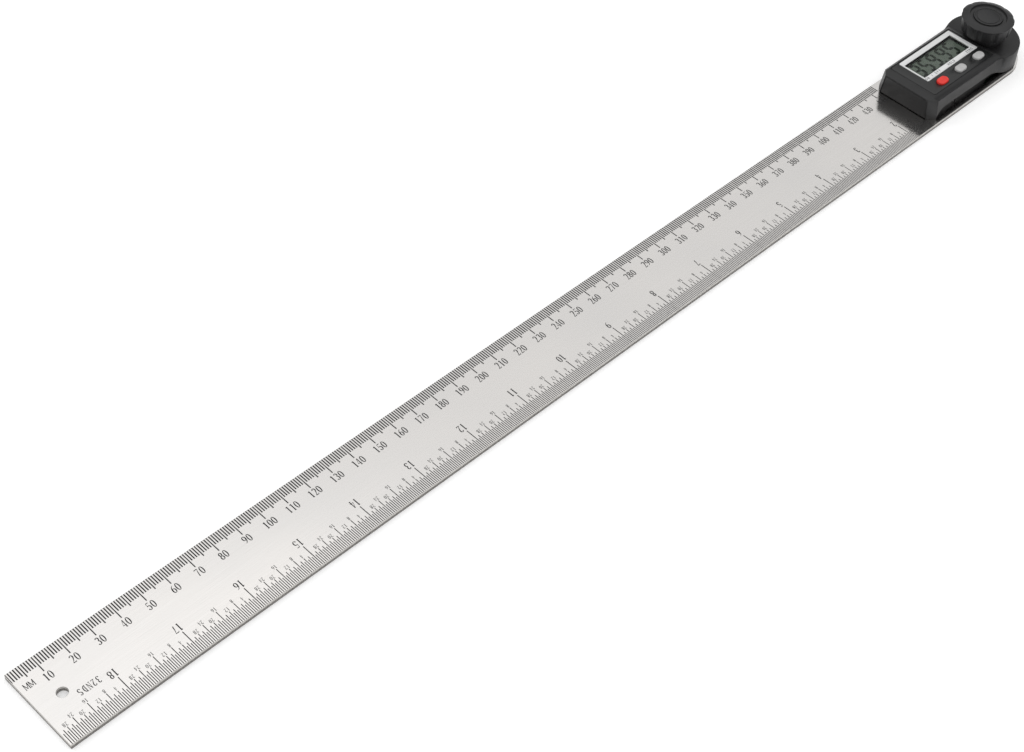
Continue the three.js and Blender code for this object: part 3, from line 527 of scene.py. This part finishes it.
# %% [markdown]
# The shell is the largest moulding. Its outer edges have the full radius. The slopes round the
# display are blended already, so their edges get none. Thin rims, the neck beside the knob and the
# edges round the battery door have room for only a share of it.

# %% Housing shell
display_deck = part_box("fascia_plate")[1].z
round_deck = 11.25 * mm
rim_depth = 0.05 * mm
neck_depth = 0.2 * mm
neck_middle = -8.2 * mm
neck_reach = 2.8 * mm
door_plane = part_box("housing_top")[0].x + 4.2 * mm
door_half = 12.45 * mm
shell_edge = 0.4 * mm
rim_share = 0.22
neck_share = 0.1
door_share = 0.12
front_share = 0.3


def shell_share(middle):
    """The share of the radius that an edge of the shell gets, by the place of its middle."""
    if middle.z > display_deck - rim_depth:
        return rim_share
    if middle.z > round_deck:
        return 0.0
    if middle.z > round_deck - neck_depth and abs(middle.x - neck_middle) < neck_reach:
        return neck_share
    if middle.x < door_plane:
        return door_share if abs(middle.y) < door_half else front_share
    return 1.0


shell = softened("housing_top", "upper_arm", shell_edge, shell_share)
print("shell faces", len(shell.data.polygons))

# %% [markdown]
# The battery door, the display's plate, its bezel and the knob's centre disc are small plates with
# edges of a tenth to a quarter of a millimetre. The disc has a sunk ring, whose inner corners are
# rounded too.

# %% Battery door, fascia, bezel and knob cap
door = softened("battery_tray", "battery_drawer", 0.25 * mm)
fascia = softened("fascia_plate", "upper_arm", 0.1 * mm, steps=2)
bezel = softened("bezel_frame", "upper_arm", 0.12 * mm, steps=2)
cap = softened("knob_cap", "knob", 0.12 * mm, steps=2, concave=True)
print("plate faces", [len(plate.data.polygons) for plate in (door, fascia, bezel, cap)])

# %% [markdown]
# The three keys are silicone, with a low crown and a soft edge all round. A rounded box would look
# much like them, but building up rings of one capsule outline gives the crown its true section.
# The outline is a circle with its halves moved apart.

# %% Push keys
key_steps = 48
key_flange = 0.6 * mm
# How far in from the wall each ring of the crown lies, and how high up, in mm. The last is the top.
key_crown = [(0.0, 0.4), (0.05, 0.62), (0.2, 0.8), (0.5, 0.9), (1.1, 0.95)]


def push_key(node, body):
    """A capsule key from its flange up: rings of one outline, closed over by a flat crown."""
    low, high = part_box(node)
    centre = (low + high) / 2
    width = high.y - low.y - 2 * key_flange
    half_straight = (high.x - low.x - 2 * key_flange - width) / 2
    mesh = bmesh.new()
    loop = bmesh.ops.create_circle(mesh, segments=key_steps, radius=width / 2 + key_flange)["verts"]
    for point in loop:
        side = math.copysign(half_straight, point.co.x)
        point.co += Vector((centre.x + side, centre.y, low.z))
    mesh.faces.new(reversed(loop))
    crown_top = key_crown[-1][1]
    levels = [(-key_flange, low.z + key_flange), (0, low.z + key_flange)]
    levels += [(inset * mm, high.z + (up - crown_top) * mm) for inset, up in key_crown]
    edges = list(mesh.edges)
    for inset, height in levels:
        drawn = bmesh.ops.extrude_edge_only(mesh, edges=edges)["geom"]
        edges = [item for item in drawn if isinstance(item, bmesh.types.BMEdge)]
        for point in [item for item in drawn if isinstance(item, bmesh.types.BMVert)]:
            side = math.copysign(half_straight, point.co.x - centre.x)
            spoke = Vector((point.co.x - centre.x - side, point.co.y - centre.y, 0)).normalized()
            place = spoke * (width / 2 - inset)
            point.co = (centre.x + side + place.x, centre.y + place.y, height)
    bmesh.ops.holes_fill(mesh, edges=edges, sides=0)
    bmesh.ops.recalc_face_normals(mesh, faces=mesh.faces)
    made = object_from(mesh, "rounded_" + node, body, finish_of[node])
    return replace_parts(made, node)


keys = [push_key("button_power", "power_key"),
        push_key("button_hold", "hold_key"),
        push_key("button_zero", "zero_key")]
print("key faces", [len(key.data.polygons) for key in keys])

# %% [markdown]
# The knob is one moulding. Nine narrow upright grooves part its wall into panels, a rim stands out
# over them, and a shallow crown slopes up to the dish round the centre disc. A turned solid with
# nine cutters taken from it would do, but its grooves would end in hard edges. Here one ring of
# points is drawn out along the profile, and each level takes its share of the groove's depth, so
# the grooves get shallower at the rim and fade out over the crown.

# %% Clamping knob
knob_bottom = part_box("lock_knob")[0].z
knob_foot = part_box("knob_insert")[0].z + 0.35 * mm
groove_count = 9
groove_steps = 24
groove_start = 0.635
groove_depth = 0.65 * mm
groove_power = 12
insert_bore = 4.95
# Radius in mm, height over the skirt's foot in mm, and share of the groove's depth at each level.
# The last level is the bore for the insert, where the ring also starts. None is the knob's bottom.
knob_profile = [
    (6.2, None, 0.0),
    (6.2, 4.8, 0.0),
    (9.2, 4.8, 0.0),
    (9.5, 4.5, 0.0),
    (9.5, 0.0, 0.0),
    (10.4, 0.0, 1.0),
    (10.65, 0.1, 1.0),
    (10.72, 0.35, 1.0),
    (11.2, 5.4, 1.0),
    (11.27, 5.65, 0.95),
    (11.5, 5.88, 0.6),
    (11.62, 6.1, 0.45),
    (11.6, 6.28, 0.4),
    (11.4, 6.42, 0.35),
    (8.75, 7.35, 0.0),
    (8.5, 7.4, 0.0),
    (8.25, 7.36, 0.0),
    (8.15, 7.2, 0.0),
    (8.12, 6.75, 0.0),
    (7.95, 6.57, 0.0),
    (6.6, 6.55, 0.0),
    (6.45, 6.45, 0.0),
    (6.45, 5.85, 0.0),
    (insert_bore, 5.85, 0.0),
]


def clamping_knob():
    """Draws one ring out along the profile and closes it back onto its start."""
    mesh = bmesh.new()
    steps = groove_count * groove_steps
    for point in bmesh.ops.create_circle(mesh, segments=steps, radius=insert_bore * mm)["verts"]:
        point.co.z = knob_bottom
    start_edges = list(mesh.edges)
    edges = start_edges
    for radius, up, share in knob_profile:
        drawn = bmesh.ops.extrude_edge_only(mesh, edges=edges)["geom"]
        edges = [item for item in drawn if isinstance(item, bmesh.types.BMEdge)]
        for point in [item for item in drawn if isinstance(item, bmesh.types.BMVert)]:
            angle = math.atan2(point.co.y, point.co.x)
            groove = math.cos(groove_count * (angle - groove_start) / 2) ** groove_power
            reach = radius * mm - share * groove_depth * groove
            height = knob_bottom if up is None else knob_foot + up * mm
            point.co = (reach * math.cos(angle), reach * math.sin(angle), height)
    bmesh.ops.bridge_loops(mesh, edges=start_edges + edges)
    bmesh.ops.recalc_face_normals(mesh, faces=mesh.faces)
    made = object_from(mesh, "grooved_knob", "knob", knob_black, crease=42)
    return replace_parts(made, "lock_knob")


print("knob faces", len(clamping_knob().data.polygons))

# %% [markdown]
# The blades are stamped from strip. Their round ends and holes are true arcs, every edge is slightly
# broken, and the cut faces are duller than the brushed ones. A flat curve with holes is the
# shortest way to such a sheet: it is filled, raised and bevelled by its own settings, and made a
# mesh before its place is applied. Its level faces get the brushed finish and all others the cut one.

# %% Sheet helpers
def circle_points(radius, along=0.0, across=0.0, steps=48):
    """Points round a circle in the plane."""
    turns = [2 * math.pi * i / steps for i in range(steps)]
    return [(along + radius * math.cos(t), across + radius * math.sin(t)) for t in turns]


def mesh_of_curve(curve):
    """The mesh that a curve or text makes. The curve itself is deleted."""
    holder = bpy.data.objects.new(curve.name, curve)
    bpy.context.scene.collection.objects.link(holder)
    bpy.context.view_layer.update()
    evaluated = holder.evaluated_get(bpy.context.evaluated_depsgraph_get())
    data = bpy.data.meshes.new_from_object(evaluated)
    bpy.data.objects.remove(holder)
    bpy.data.curves.remove(curve)
    return data


def sheet(name, outlines, low, high, edge, body, finish, cut_finish):
    """A flat filled curve with holes, raised between two heights with its edges broken."""
    curve = bpy.data.curves.new(name, "CURVE")
    curve.dimensions = "2D"
    curve.fill_mode = "BOTH"
    curve.extrude = (high - low) / 2 - edge
    curve.bevel_depth = edge
    curve.bevel_resolution = 1
    curve.offset = -edge
    for outline in outlines:
        spline = curve.splines.new("POLY")
        spline.points.add(len(outline) - 1)
        for point, place in zip(spline.points, outline):
            point.co = (place[0], place[1], 0, 1)
        spline.use_cyclic_u = True
    mesh = bmesh.new()
    mesh.from_mesh(mesh_of_curve(curve))
    bmesh.ops.remove_doubles(mesh, verts=mesh.verts, dist=merge_distance)
    bmesh.ops.translate(mesh, verts=mesh.verts, vec=(0, 0, (high + low) / 2))
    join_flat_faces(mesh)
    level_within = edge / 10
    for face in mesh.faces:
        heights = [point.co.z for point in face.verts]
        face.material_index = 0 if max(heights) - min(heights) < level_within else 1
    made = object_from(mesh, name, body, finish, crease=12)
    made.data.materials.append(cut_finish)
    return made


# %% [markdown]
# Both blades have one outline: straight edges, a round end about the pivot and a square free end.
# The holes for the hub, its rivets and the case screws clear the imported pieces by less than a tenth
# of a millimetre, and the hanging hole goes through both.

# %% Blades
blade_low, blade_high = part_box("upper_blade")
blade_half = blade_high.y
edge_break = 0.08 * mm
blade_corner = 0.12 * mm
corner_steps = 4
arc_steps = 72
hang_hole_radius = 2 * mm
hang_hole_inset = 9.5 * mm
spigot_hole_radius = 4.05 * mm
flange_hole_radius = 9.05 * mm
rivet_hole_radius = 0.95 * mm
screw_hole_radius = 1.97 * mm


def blade_outline():
    """Points round a blade: the end about the pivot, then the two corners of the free end."""
    turns = [math.pi * (i / arc_steps - 0.5) for i in range(arc_steps + 1)]
    points = [(blade_half * math.cos(t), blade_half * math.sin(t)) for t in turns]
    for side, start in ((1, 0.5), (-1, 1.0)):
        for i in range(corner_steps + 1):
            turn = math.pi * (start + i / corner_steps / 2)
            points.append((blade_low.x + blade_corner * (1 + math.cos(turn)),
                           side * (blade_half - blade_corner) + blade_corner * math.sin(turn)))
    return points


def holes_at(family, count, radius, steps):
    """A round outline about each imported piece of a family."""
    boxes = [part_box(f"{family}_{i}") for i in range(1, count + 1)]
    return [circle_points(radius, *((low + high) / 2).xy, steps) for low, high in boxes]


hang_hole = circle_points(hang_hole_radius, blade_low.x + hang_hole_inset)
lower_outlines = [blade_outline(), hang_hole, circle_points(spigot_hole_radius)]
lower_outlines += holes_at("hub_rivet", 4, rivet_hole_radius, steps=24)
upper_outlines = [blade_outline(), hang_hole, circle_points(flange_hole_radius)]
upper_outlines += holes_at("case_screw", 4, screw_hole_radius, steps=32)
lower_low, lower_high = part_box("lower_blade")
lower_sheet = sheet("lower_blade_strip", lower_outlines, lower_low.z, lower_high.z, edge_break,
                    "lower_arm", blade_steel, lower_edge_painted_shade)
upper_sheet = sheet("upper_blade_strip", upper_outlines, blade_low.z, blade_high.z, edge_break,
                    "upper_arm", blade_steel, upper_cut_steel)
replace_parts(lower_sheet, "lower_blade")
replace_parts(upper_sheet, "upper_blade")
print("blade faces", len(lower_sheet.data.polygons), len(upper_sheet.data.polygons))

# %% [markdown]
# The scales are etched into both blades. They could be painted on with a texture, but a tick is
# half a millimetre wide on half a metre of blade, so each mark is modelled as a very thin solid
# lying on the steel and stays sharp in every view. The millimetre scale runs along one edge from
# the free end. The inch scale runs along the other, in 32nds, counted from near the pivot and upside
# down to the first.

# %% Scale sizes
free_end = cad_box[0].x
upper_face = blade_high.z
lower_face = lower_high.z
inch = 25.4 * mm
parts_of_inch = 32
scale_inches = 19
inch_zero = free_end + scale_inches * inch
millimetre_marks = 444
scale_stop = free_end + millimetre_marks * mm
mark_height = 0.02 * mm
mark_inset = 0.1 * mm
# Length and width of each kind of tick. The inch ones go by the power of two that divides the count.
unit_tick = (4.3 * mm, 0.48 * mm)
five_tick = (5.4 * mm, 0.45 * mm)
ten_tick = (7.2 * mm, 0.42 * mm)
fraction_ticks = {
    32: (10.2 * mm, 0.34 * mm),
    16: (9.0 * mm, 0.3 * mm),
    8: (7.8 * mm, 0.3 * mm),
    4: (6.2 * mm, 0.3 * mm),
    2: (5.9 * mm, 0.3 * mm),
    1: (4.8 * mm, 0.3 * mm),
}
print("inch scale starts", round((inch_zero - free_end) / mm, 1), "mm from the free end")

# %% [markdown]
# The ticks are the same on both blades, so one function draws both rows for either. They are boxes
# a fiftieth of a millimetre high, all in one mesh, because a thousand objects would be slow.

# %% Ticks of both scales
def add_box(mesh, low, high):
    """Adds one box given by its two corners."""
    size = Vector(high) - Vector(low)
    centre = (Vector(high) + Vector(low)) / 2
    place = Matrix.Translation(centre) @ Matrix.Diagonal((*size, 1))
    bmesh.ops.create_cube(mesh, size=1, matrix=place)


def fraction_kind(count):
    """The largest power of two, up to a whole inch, that divides a count of 32nds."""
    return next(kind for kind in fraction_ticks if count % kind == 0)


def scale_ticks(name, body, face):
    """Both rows of ticks on one blade, as thin boxes on its face, with half a tick at the end."""
    mesh = bmesh.new()
    edge = blade_half - mark_inset
    top = face + mark_height
    length, width = unit_tick
    add_box(mesh, (free_end + edge_break, blade_half - length, face),
            (free_end + edge_break + width / 2, edge, top))
    for count in range(1, millimetre_marks + 1):
        length, width = ten_tick if count % 10 == 0 else five_tick if count % 5 == 0 else unit_tick
        along = free_end + count * mm
        add_box(mesh, (along - width / 2, blade_half - length, face), (along + width / 2, edge, top))
    for count in range(scale_inches * parts_of_inch - 1, 0, -1):
        along = inch_zero - count * inch / parts_of_inch
        if along > scale_stop:
            break
        length, width = fraction_ticks[fraction_kind(count)]
        add_box(mesh, (along - width / 2, -edge, face), (along + width / 2, length - blade_half, top))
    return object_from(mesh, name, body, etched_black)


upper_ticks = scale_ticks("upper_scale_ticks", "upper_arm", upper_face)
scale_ticks("lower_scale_ticks", "lower_arm", lower_face)
print("tick faces", len(upper_ticks.data.polygons))

# %% [markdown]
# The numbers are narrow, with thick uprights, thin joins and small feet. Blender's own font has none
# of this and no other may be loaded, so each character is drawn from pen strokes whose width
# changes along the way. A stroke is a row of points: along, up and half the pen's width, in shares
# of the character's height.

# %% Strokes of the numerals
pen_thick = 0.066
pen_thin = 0.028
degrees_per_point = 30


def bowl(along, up, wide, tall, start, end):
    """Points of an oval stroke between two angles in degrees, thick at its sides."""
    count = max(2, round(abs(end - start) / degrees_per_point))
    turns = [math.radians(start + (end - start) * i / count) for i in range(count + 1)]
    return [(along + wide * math.cos(t), up + tall * math.sin(t),
             pen_thin + (pen_thick - pen_thin) * abs(math.cos(t))) for t in turns]


def foot(middle, up=0.02, reach=0.1):
    """A thin level stroke that ends an upright."""
    return [(middle - reach, up, pen_thin), (middle + reach, up, pen_thin)]


def upright(along, half):
    """A straight stroke over the whole height."""
    return [(along, 0.02, half), (along, 0.98, half)]


pen_strokes = {
    "0": [bowl(0, 0.5, 0.17, 0.475, 0, 360)],
    "1": [upright(0.02, pen_thick), foot(0.02), [(-0.13, 0.84, 0.02), (0.0, 0.95, 0.04)]],
    "2": [bowl(0, 0.74, 0.15, 0.235, 165, -35) + [(-0.02, 0.26, 0.035), (-0.17, 0.06, 0.02)],
          [(-0.19, 0.045, 0.045), (0.16, 0.045, 0.045), (0.2, 0.19, 0.01)]],
    "3": [bowl(-0.01, 0.755, 0.135, 0.22, 160, -90), bowl(-0.01, 0.28, 0.16, 0.255, 95, -160)],
    "4": [[(0.05, 0.96, 0.02), (-0.2, 0.29, 0.02)], [(-0.22, 0.28, 0.03), (0.21, 0.28, 0.03)],
          upright(0.07, 0.05), foot(0.07)],
    "5": [[(-0.11, 0.94, 0.04), (0.17, 0.94, 0.04)], [(-0.11, 0.95, 0.02), (-0.14, 0.53, 0.02)],
          bowl(-0.02, 0.31, 0.17, 0.285, 135, -160)],
    "6": [[(0.15, 0.95, 0.02), (0.0, 0.86, 0.035), (-0.12, 0.66, 0.055), (-0.165, 0.35, 0.055)],
          bowl(0, 0.3, 0.165, 0.275, 0, 360)],
    "7": [[(-0.2, 0.8, 0.01), (-0.17, 0.94, 0.045), (0.19, 0.94, 0.045)],
          [(0.17, 0.93, 0.02), (0.03, 0.5, 0.045), (-0.05, 0.02, 0.055)]],
    "8": [bowl(0, 0.75, 0.135, 0.225, 0, 360), bowl(0, 0.275, 0.165, 0.25, 0, 360)],
    "9": [bowl(0, 0.7, 0.165, 0.275, 0, 360),
          [(0.165, 0.65, 0.055), (0.12, 0.34, 0.055), (0.0, 0.14, 0.035), (-0.15, 0.05, 0.02)]],
    "M": [upright(-0.27, 0.035), [(-0.27, 0.97, 0.055), (0.0, 0.1, 0.04)],
          [(0.0, 0.1, 0.035), (0.27, 0.97, 0.04)], upright(0.27, 0.055), foot(-0.27, reach=0.07),
          foot(0.27, reach=0.07)],
    "N": [upright(-0.17, 0.022), [(-0.17, 0.96, 0.05), (0.17, 0.04, 0.04)], upright(0.17, 0.022),
          foot(-0.17), foot(0.17, 0.98)],
    "D": [upright(-0.13, 0.05), bowl(-0.11, 0.5, 0.25, 0.475, 90, -90), foot(-0.14), foot(-0.14, 0.98)],
    "S": [bowl(0, 0.745, 0.14, 0.23, 20, 275), bowl(0, 0.27, 0.155, 0.245, 90, -160)],
}
print("characters drawn", len(pen_strokes))

# %% [markdown]
# A stroke becomes a ribbon of faces with its width on both sides of the line, and is then raised.
# The small words at the keys are a plain sans, so those do come from the built in font. Each
# character is made once, at a height of 1, and kept, because most of them are used many times.

# %% Characters as thin solids
glyphs = {}
plain_weight = 0.012
ring_gap = 0.001


def raise_faces(mesh, faces, height):
    """Draws flat faces of a bmesh up into a solid."""
    raised = bmesh.ops.extrude_face_region(mesh, geom=faces)["geom"]
    tops = [item for item in raised if isinstance(item, bmesh.types.BMVert)]
    bmesh.ops.translate(mesh, verts=tops, vec=(0, 0, height))


def add_stroke(mesh, points):
    """One stroke as a solid of height 1. A stroke that ends where it starts is joined up."""
    ring = math.dist(points[0], points[-1]) < ring_gap
    points = points[:-1] if ring else points
    count = len(points)
    pairs = []
    for i, (along, up, half) in enumerate(points):
        before = points[(i - 1) % count] if ring else points[max(i - 1, 0)]
        after = points[(i + 1) % count] if ring else points[min(i + 1, count - 1)]
        run = Vector((after[0] - before[0], after[1] - before[1])).normalized() * half
        pairs.append([mesh.verts.new((along - run.y, up + run.x, 0)),
                      mesh.verts.new((along + run.y, up - run.x, 0))])
    following = pairs[1:] + pairs[:1] if ring else pairs[1:]
    raise_faces(mesh, [mesh.faces.new((a[0], a[1], b[1], b[0])) for a, b in zip(pairs, following)], 1)


def pen_character(character):
    """A numeral or capital from its strokes, its height 1, standing on the origin."""
    if character not in glyphs:
        mesh = bmesh.new()
        for points in pen_strokes[character]:
            add_stroke(mesh, points)
        data = bpy.data.meshes.new("character")
        mesh.to_mesh(data)
        mesh.free()
        glyphs[character] = data
    return glyphs[character]


def plain_character(character):
    """One plain character from the built in font, its height 1, standing on the origin."""
    key = "plain " + character
    if key not in glyphs:
        curve = bpy.data.curves.new("character", "FONT")
        curve.body = character
        curve.resolution_u = 3
        curve.extrude = 0.5
        curve.offset = plain_weight
        data = mesh_of_curve(curve)
        xs = [vertex.co.x for vertex in data.vertices]
        ys = [vertex.co.y for vertex in data.vertices]
        tall = max(ys) - min(ys)
        middle = (max(xs) + min(xs)) / 2
        to_origin = Matrix.Translation((-middle, -min(ys), 0.5))
        data.transform(Matrix.Diagonal((1 / tall, 1 / tall, 1, 1)) @ to_origin)
        glyphs[key] = data
    return glyphs[key]


# %% [markdown]
# The numbers are set one character at a time on an even pitch, as engraving machines set them.

# %% Setting of words and numbers
def write(mesh, text, centre, height, pitch, face, narrow=1.0, turned=False, drawn=pen_character):
    """Adds a text to a bmesh: centre is its middle on X and its foot on Y, turned is upside down."""
    turn = Matrix.Rotation(math.pi, 4, "Z") if turned else Matrix.Identity(4)
    for place, character in enumerate(text):
        if character == " ":
            continue
        along = (place - (len(text) - 1) / 2) * pitch
        shape = Matrix.Diagonal((height * narrow, height, mark_height, 1))
        move = Matrix.Translation((*centre, face)) @ turn @ Matrix.Translation((along, 0, 0))
        before = len(mesh.verts)
        mesh.from_mesh(drawn(character))
        mesh.verts.ensure_lookup_table()
        bmesh.ops.transform(mesh, matrix=move @ shape, verts=mesh.verts[before:])


number_height = 3.3 * mm
number_pitch = 1.75 * mm
number_foot = 6.3 * mm
inch_number_foot = 14.0 * mm
inch_number_shift = -0.4 * mm
label_height = 1.6 * mm
label_pitch = 0.95 * mm
label_gap = 0.25 * mm
labelled_step = 4
# Place of each unit word from the free end, and its foot from the middle line or the inch edge.
metric_word_place = (3.6 * mm, 7.9 * mm)
inch_word_place = (17.0 * mm, 15.1 * mm)


def scale_numbers(name, body, face):
    """All the numbers and the two unit words on one blade."""
    mesh = bmesh.new()
    for count in range(10, millimetre_marks + 1, 10):
        write(mesh, str(count), (free_end + count * mm, number_foot), number_height, number_pitch, face)
    write(mesh, "MM", (free_end + metric_word_place[0], metric_word_place[1]),
          height=2.7 * mm, pitch=1.95 * mm, face=face)
    for whole in range(1, scale_inches):
        along = inch_zero - whole * inch
        if along <= scale_stop:
            write(mesh, str(whole), (along + inch_number_shift, inch_number_foot - blade_half),
                  number_height, number_pitch, face, turned=True)
    for count in range(labelled_step, scale_inches * parts_of_inch, labelled_step):
        along = inch_zero - count * inch / parts_of_inch
        part = count % parts_of_inch
        if part == 0 or along > scale_stop:
            continue
        top = fraction_ticks[fraction_kind(count)][0] + label_gap
        write(mesh, str(part), (along, top + label_height - blade_half), label_height, label_pitch, face,
              turned=True)
    write(mesh, "32NDS", (free_end + inch_word_place[0], inch_word_place[1] - blade_half),
          height=2.8 * mm, pitch=1.75 * mm, face=face, turned=True)
    bmesh.ops.recalc_face_normals(mesh, faces=mesh.faces)
    return object_from(mesh, name, body, etched_black)


upper_numbers = scale_numbers("upper_scale_numbers", "upper_arm", upper_face)
scale_numbers("lower_scale_numbers", "lower_arm", lower_face)
print("number faces", len(upper_numbers.data.polygons))

# %% [markdown]
# The display reads 359.95, as in the photograph. A liquid crystal digit is made of up to seven bars
# with mitred ends, lettered a to g, and this reading needs all but the lower left one, e. Each bar
# is a flat outline raised a little from the panel's glass, like the marks on the steel.

# %% Display digits
panel_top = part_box("lcd_glass")[1].z
window_low, window_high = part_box("display_window")
digit_height = 9.2 * mm
digit_width = 4.5 * mm
digit_pitch = 5.7 * mm
digit_stroke = 1.35 * mm
digit_gap = 0.1 * mm
digit_left = window_low.x + 1.3 * mm
digit_foot = (window_low.y + window_high.y) / 2 + 0.2 * mm - digit_height / 2
point_gap = 0.9 * mm
dot_size = 1.0 * mm
bars_of = {"3": "abcdg", "5": "acdfg", "9": "abcdfg"}
# Where each bar starts and ends, in steps of the digit's width and half its height.
bar_ends = {
    "a": ((0, 2), (1, 2)),
    "b": ((1, 1), (1, 2)),
    "c": ((1, 0), (1, 1)),
    "d": ((0, 0), (1, 0)),
    "f": ((0, 1), (0, 2)),
    "g": ((0, 1), (1, 1)),
}


def add_bar(mesh, start, end):
    """One bar with pointed ends between two corners of a digit, as a thin solid."""
    along = (end - start).normalized()
    across = Vector((-along.y, along.x))
    half = digit_stroke / 2
    start = start + along * digit_gap
    end = end - along * digit_gap
    corners = [start, start + (along - across) * half, end - (along + across) * half,
               end, end + (across - along) * half, start + (along + across) * half]
    loop = [mesh.verts.new((point.x, point.y, panel_top)) for point in corners]
    raise_faces(mesh, [mesh.faces.new(loop)], mark_height)


def add_digit(mesh, digit, left):
    """A digit of bars, its left side at a place along X."""
    wide = digit_width - digit_stroke
    tall = (digit_height - digit_stroke) / 2
    origin = Vector((left + digit_stroke / 2, digit_foot + digit_stroke / 2))
    for name in bars_of[digit]:
        start, end = [origin + Vector((x * wide, y * tall)) for x, y in bar_ends[name]]
        add_bar(mesh, start, end)


digits = bmesh.new()
for place, digit in enumerate("35995"):
    after_point = point_gap if place > 2 else 0
    add_digit(digits, digit, digit_left + place * digit_pitch + after_point)
point_middle = digit_left + 3 * digit_pitch + point_gap / 2 - (digit_pitch - digit_width) / 2
add_box(digits, (point_middle - dot_size / 2, digit_foot, panel_top),
        (point_middle + dot_size / 2, digit_foot + dot_size, panel_top + mark_height))
bmesh.ops.recalc_face_normals(digits, faces=digits.faces)
reading = object_from(digits, "display_digits", "upper_arm", lcd_dark)
print("digit faces", len(reading.data.polygons))

# %% [markdown]
# Beside each key the bezel's wider band says what it does. The words are generic ones, printed in
# small plain capitals. Like the scales they are thin solids, on the bezel's face.

# %% Key labels on the bezel
bezel_low, bezel_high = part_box("bezel_frame")
band_middle = (bezel_low.y + window_low.y) / 2
key_label_height = 1.3 * mm
key_label_narrow = 0.7
key_words = {"button_power": ("ON / OFF", 1.35 * mm), "button_hold": ("HOLD", 1.3 * mm),
             "button_zero": ("ZERO", 1.15 * mm)}
words = bmesh.new()
for node, (text, pitch) in key_words.items():
    low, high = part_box(node)
    write(words, text, ((low.x + high.x) / 2, band_middle - key_label_height / 2), key_label_height,
          pitch, bezel_high.z, key_label_narrow, drawn=plain_character)
key_labels = object_from(words, "key_labels", "upper_arm", etched_black)
print("label faces", len(key_labels.data.polygons))
